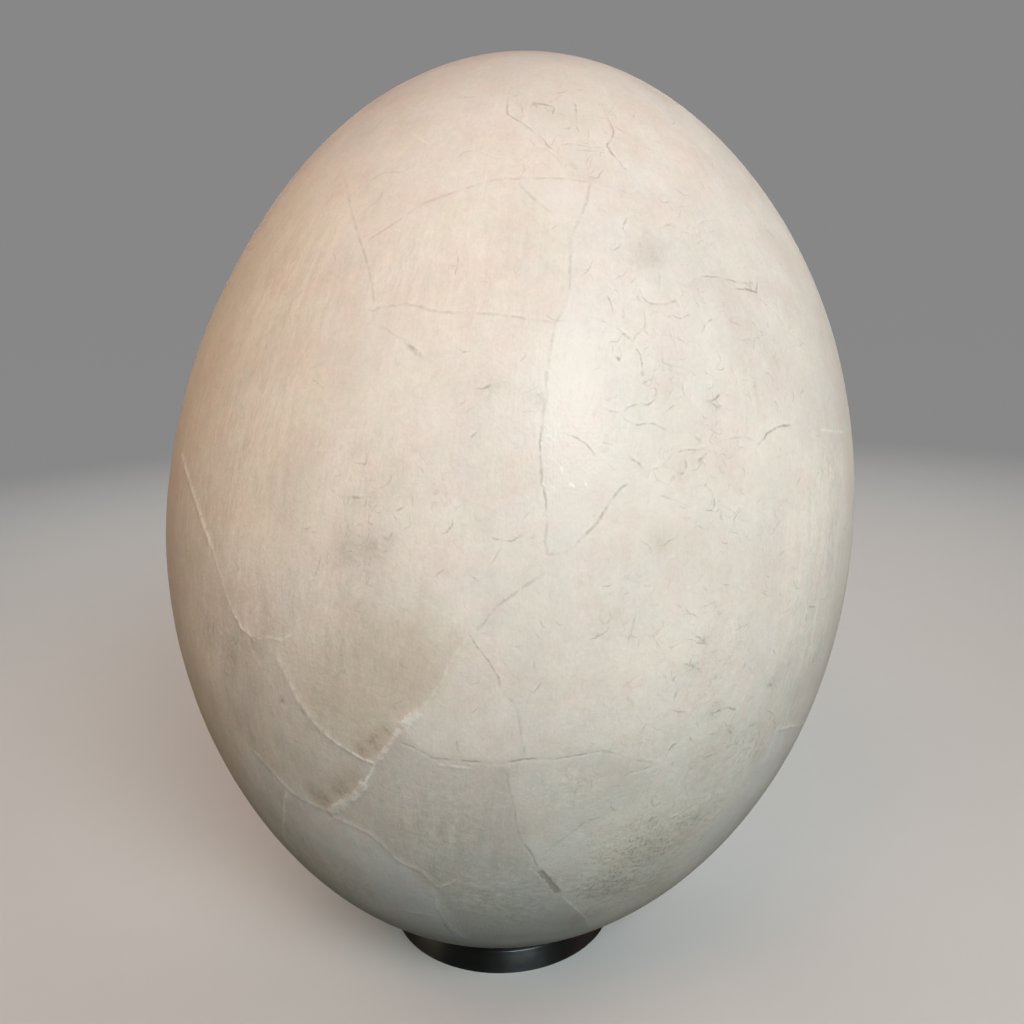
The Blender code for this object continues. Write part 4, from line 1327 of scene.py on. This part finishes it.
@dataclass
class MendedShell:
    """The egg: a ball carried out to the egg's form, finer along its lines, with their relief."""

    shape: EggShape
    marks: ShellMarks
    name: str = "mended_shell"
    ball_levels: int = 7
    reach: float = 2.3 * MM
    relief_reach: float = 1.15 * MM
    skin_in: float = 0.13
    wave_height: float = 0.30
    wave_length: float = 0.030
    dimple_height: float = 0.06
    dimple_length: float = 0.007
    most_rise: float = 1.0
    cloud_level: float = 0.6

    def build(self) -> bpy.types.Object:
        """Makes the shell's mesh, its relief and the numbers that its finish reads."""
        bpy.ops.object.select_all(action="DESELECT")
        bpy.ops.mesh.primitive_ico_sphere_add(subdivisions=self.ball_levels, radius=1.0, location=(0, 0, 0))
        piece = named(self.name)
        self._refine(piece, self.marks.lines, self.reach)
        self._refine(piece, [line for line in self.marks.lines if line.look.rise], self.relief_reach)
        move_corners(piece, self.shape.from_ball(triples(piece.data.vertices, "co")))
        self._store(piece)
        self._raise(piece)
        only_this(piece)
        bpy.ops.object.shade_smooth()
        return piece

    def _refine(self, piece: bpy.types.Object, lines: list[ShellLine], reach: float) -> None:
        """Splits the ball's faces that lie within reach of the lines, and keeps their corners on the ball."""
        centres = triples(piece.data.polygons, "center")
        places = self.shape.from_ball(centres / np.linalg.norm(centres, axis=1, keepdims=True))
        near = np.zeros(len(places), dtype=bool)
        for line in lines:
            room = reach + line.look.half_width * MM / 2
            boxed = line.near(places, room)
            near[boxed] |= np.abs(line.measure(places[boxed])[0]) < room
        edit_faces(piece, near)
        bpy.ops.mesh.subdivide(number_cuts=1, smoothness=0.0, ngon=False)
        bpy.ops.mesh.select_all(action="SELECT")
        bpy.ops.mesh.quads_convert_to_tris(quad_method="SHORTEST_DIAGONAL")
        bpy.ops.object.mode_set(mode="OBJECT")
        points = triples(piece.data.vertices, "co")
        move_corners(piece, points / np.linalg.norm(points, axis=1, keepdims=True))

    def _store(self, piece: bpy.types.Object) -> None:
        """Stores the marks' numbers and the upright places for the finish."""
        mesh = piece.data
        places = triples(mesh.vertices, "co")
        around = np.arctan2(places[:, 1], places[:, 0])
        wide = self.shape.width / 2
        add_attribute(mesh, "upright_place", places)
        add_attribute(mesh, "meridian_place",
                      np.stack([wide * np.cos(around), wide * np.sin(around), places[:, 2]], axis=1))
        for number, layer in enumerate(self.marks.layers):
            add_attribute(mesh, f"lines_{number}", self.marks.line_field(layer, places))
        tints = self.marks.tints(places)
        spots = self.marks.spots(places)
        add_attribute(mesh, "fragment_tint", tints[:, [0, 1, 3]])
        add_attribute(mesh, "shell_wear", spots[:, :3])
        add_attribute(mesh, "shell_dirt", spots[:, 3:])
        add_group(piece, "raised", self.marks.relief(places, True) / self.most_rise)
        add_group(piece, "sunk", self.marks.relief(places, False) / self.most_rise)
        add_group(piece, "lifted", np.clip(tints[:, 2], 0.0, 1.0))

    def _raise(self, piece: bpy.types.Object) -> None:
        """Gives the shell its relief, then stands it where it belongs."""
        only_this(piece)
        self._displace(piece, "skin", -self.skin_in)
        self._displace(piece, "lifted", 1.0, group="lifted")
        self._displace(piece, "waves", self.wave_height, cloud=self.wave_length)
        self._displace(piece, "dimples", self.dimple_height, cloud=self.dimple_length)
        self._displace(piece, "sunk", -self.most_rise, group="sunk")
        self._displace(piece, "raised", self.most_rise, group="raised")
        piece.vertex_groups.clear()
        move_corners(piece, self.shape.stand(triples(piece.data.vertices, "co")))

    def _displace(self, piece: bpy.types.Object, name: str, height: float, group: str = "",
                  cloud: float = 0.0) -> None:
        """Moves the skin along its normals.

        Args:
            piece: The shell.
            name: The modifier's name.
            height: Millimetres outwards, or the clouds' whole depth, of which half goes in.
            group: The vertex group that it is weighted by.
            cloud: The size of cloudy lumps in metres, or 0 for an even move.
        """
        modifier = piece.modifiers.new(name, "DISPLACE")
        modifier.strength = height * MM
        modifier.mid_level = 0.0
        modifier.vertex_group = group
        if cloud:
            texture = bpy.data.textures.new(name, "CLOUDS")
            texture.noise_scale = cloud
            texture.noise_depth = 1
            modifier.texture = texture
            modifier.texture_coords = "LOCAL"
            modifier.mid_level = self.cloud_level
        bpy.ops.object.modifier_apply(modifier=name)

    def dress(self, piece: bpy.types.Object, effects: Effects) -> None:
        """Gives the shell its finish, hides the model's egg and hangs the shell under the root body."""
        piece.data.materials.clear()
        piece.data.materials.append(ShellFinish().make(effects, len(self.marks.layers)))
        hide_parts("egg")
        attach(piece, "root")


@dataclass
class TurnedRing:
    """The ring: a short tube with a conical seat inside its upper edge."""

    shape: EggShape
    name: str = "turned_ring"
    node: str = "ring_stand"
    bore_radius: float = 0.0345
    seat_radius: float = 0.0370
    gap: float = 0.0003
    edge_round: float = 0.0003
    edge_steps: int = 3
    sharp_from: float = math.radians(20)
    smooth_below: float = math.radians(35)
    cap_reach: float = MM / 10
    sides: int = 256

    @property
    def centre_x(self) -> float:
        """The ring's axis, from the model that it stands for."""
        low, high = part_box(self.node)
        return (low.x + high.x) / 2

    def build(self) -> bpy.types.Object:
        """Turns the ring out of a cylinder."""
        low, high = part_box(self.node)
        radius, height = (high.y - low.y) / 2, high.z
        bpy.ops.object.select_all(action="DESELECT")
        bpy.ops.mesh.primitive_cylinder_add(
            vertices=self.sides, radius=radius, depth=height, location=(self.centre_x, 0, height / 2))
        piece = named(self.name)
        bpy.ops.object.transform_apply(location=True, rotation=True, scale=True)
        foot = self.shape.height_over_circle(self.centre_x, self.bore_radius) - self.gap
        self._hollow(piece, radius, height, foot)
        only_this(piece)
        bevel = piece.modifiers.new("edges", "BEVEL")
        bevel.width = self.edge_round
        bevel.segments = self.edge_steps
        bevel.limit_method = "ANGLE"
        bevel.angle_limit = self.sharp_from
        bpy.ops.object.modifier_apply(modifier="edges")
        bpy.ops.object.shade_smooth_by_angle(angle=self.smooth_below)
        return piece

    def _hollow(self, piece: bpy.types.Object, radius: float, height: float, foot: float) -> None:
        """Cuts the seat and the bore.

        Args:
            piece: The solid cylinder.
            radius: Its radius.
            height: Its height.
            foot: The height of the seat's lower edge.
        """
        self._pick_cap(piece, height)
        bpy.ops.mesh.inset(thickness=radius - self.seat_radius)
        bpy.ops.mesh.inset(thickness=self.seat_radius - self.bore_radius)
        bpy.ops.transform.translate(value=(0, 0, foot - height))
        bpy.ops.object.mode_set(mode="OBJECT")
        self._pick_cap(piece, 0.0)
        bpy.ops.mesh.inset(thickness=radius - self.bore_radius)
        bpy.ops.object.mode_set(mode="OBJECT")
        piece.data.polygons.foreach_set("select", [len(face.vertices) == self.sides for face in piece.data.polygons])
        bpy.ops.object.mode_set(mode="EDIT")
        bpy.ops.mesh.bridge_edge_loops()
        bpy.ops.mesh.select_all(action="SELECT")
        bpy.ops.mesh.normals_make_consistent(inside=False)
        bpy.ops.object.mode_set(mode="OBJECT")

    def _pick_cap(self, piece: bpy.types.Object, height: float) -> None:
        """Selects the cylinder's many-sided face at a height, in edit mode."""
        edit_faces(piece, [len(face.vertices) == self.sides and abs(face.center.z - height) < self.cap_reach
                           for face in piece.data.polygons])

    def dress(self, piece: bpy.types.Object, effects: Effects) -> None:
        """Gives the ring its finish, hides the model's ring and hangs this ring under the root body."""
        piece.data.materials.clear()
        piece.data.materials.append(RingFinish().make(effects, self.centre_x))
        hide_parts(self.node)
        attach(piece, "root")


@dataclass(frozen=True)
class SoftLight:
    """A square soft light aimed at the egg's middle, by its turn from -Y towards +X and its height in degrees."""

    turn: float
    height: float
    watts: float
    colour: Colour
    distance: float = 1.0
    size: float = 0.4
    glossy: bool = True

    def place(self, name: str, target: np.ndarray) -> bpy.types.Object:
        """Puts the light in the scene.

        Args:
            name: The light's name.
            target: The point that it faces.

        Returns:
            The light.
        """
        turn, height = math.radians(self.turn), math.radians(self.height)
        away = Vector((math.sin(turn) * math.cos(height), -math.cos(turn) * math.cos(height), math.sin(height)))
        lamp = bpy.data.lights.new(name, "AREA")
        lamp.size = self.size
        lamp.energy = self.watts
        lamp.color = self.colour
        light = bpy.data.objects.new(name, lamp)
        bpy.context.scene.collection.objects.link(light)
        light.location = Vector(target) + away * self.distance
        light.rotation_euler = away.to_track_quat("Z", "Y").to_euler()
        light.visible_camera = False
        light.visible_glossy = self.glossy
        return light


@dataclass
class Studio:
    """A plain pale floor that sweeps up all round, and soft lights."""

    shape: EggShape
    key_light: SoftLight = SoftLight(20, 30, 8.1, (0.86, 0.98, 1.0))
    warm_light: SoftLight = SoftLight(-20, 50, 2.0, (1.0, 0.30, 0.10), glossy=False)
    left_fill: SoftLight = SoftLight(-75, 10, 1.6, (1.0, 0.86, 0.60))
    right_fill: SoftLight = SoftLight(85, 10, 1.2, (1.0, 0.66, 0.55))
    back_left: SoftLight = SoftLight(-150, 14, 4.5, (1.0, 0.95, 0.90), size=0.7, glossy=False)
    back_right: SoftLight = SoftLight(150, 14, 4.5, (1.0, 0.95, 0.90), size=0.7, glossy=False)
    room: Colour = (0.030, 0.030, 0.031)
    floor_radius: float = 1.6
    floor_sides: int = 96
    sweep_height: float = 1.4
    sweep_steps: int = 16

    def build(self, effects: Effects) -> None:
        """Makes the floor, the lights and the faint light of the room."""
        for name in ("key_light", "warm_light", "left_fill", "right_fill", "back_left", "back_right"):
            getattr(self, name).place(name, self.shape.middle)
        world = bpy.data.worlds.new("room")
        world.use_nodes = True
        world.node_tree.nodes["Background"].inputs["Color"].default_value = (*self.room, 1.0)
        bpy.context.scene.world = world
        bpy.context.scene.view_settings.view_transform = "Standard"
        floor = self._sweep()
        floor.data.materials.append(FloorFinish().make(effects))
        floor.visible_diffuse = False
        floor.visible_glossy = False

    def _sweep(self) -> bpy.types.Object:
        """A round floor whose edge curves up into a low wall."""
        bpy.ops.object.select_all(action="DESELECT")
        bpy.ops.mesh.primitive_circle_add(
            vertices=self.floor_sides, radius=self.floor_radius, fill_type="NGON", location=(0, 0, 0))
        floor = named("pale_floor")
        bpy.ops.object.mode_set(mode="EDIT")
        bpy.ops.mesh.select_mode(type="EDGE")
        bpy.ops.mesh.select_all(action="SELECT")
        bpy.ops.mesh.region_to_loop()
        for step in range(1, self.sweep_steps + 1):
            before = math.radians(90) * (step - 1) / self.sweep_steps
            now = math.radians(90) * step / self.sweep_steps
            grow = self.floor_radius + self.sweep_height * math.sin(now)
            was = self.floor_radius + self.sweep_height * math.sin(before)
            rise = self.sweep_height * (math.cos(before) - math.cos(now))
            bpy.ops.mesh.extrude_region_move(TRANSFORM_OT_translate={"value": (0, 0, rise)})
            bpy.ops.transform.resize(value=(grow / was, grow / was, 1), center_override=(0, 0, 0))
        bpy.ops.mesh.select_all(action="SELECT")
        bpy.ops.mesh.normals_make_consistent(inside=False)
        bpy.ops.object.mode_set(mode="OBJECT")
        bpy.ops.object.shade_smooth()
        return floor


def triangles(piece: bpy.types.Object) -> int:
    """How many triangles a piece has."""
    return sum(len(face.vertices) - 2 for face in piece.data.polygons)


def main() -> None:
    """Builds and dresses the egg, its ring and the studio, and reports each piece."""
    logging.basicConfig(level=logging.INFO, format="%(message)s")
    shape = EggShape()
    camera = PictureCamera()
    camera.place(shape)
    effects = Effects()
    marks = ShellMarks(shape, camera)
    LOG.info("marks: %d lines in %d layers", len(marks.lines), len(marks.layers))
    shell = MendedShell(shape, marks)
    egg = shell.build()
    shell.dress(egg, effects)
    LOG.info("%s: %d triangles", egg.name, triangles(egg))
    turned = TurnedRing(shape)
    ring = turned.build()
    turned.dress(ring, effects)
    LOG.info("%s: %d triangles", ring.name, triangles(ring))
    Studio(shape).build(effects)
    LOG.info("studio: floor and lights")


if __name__ == "__main__":
    main()
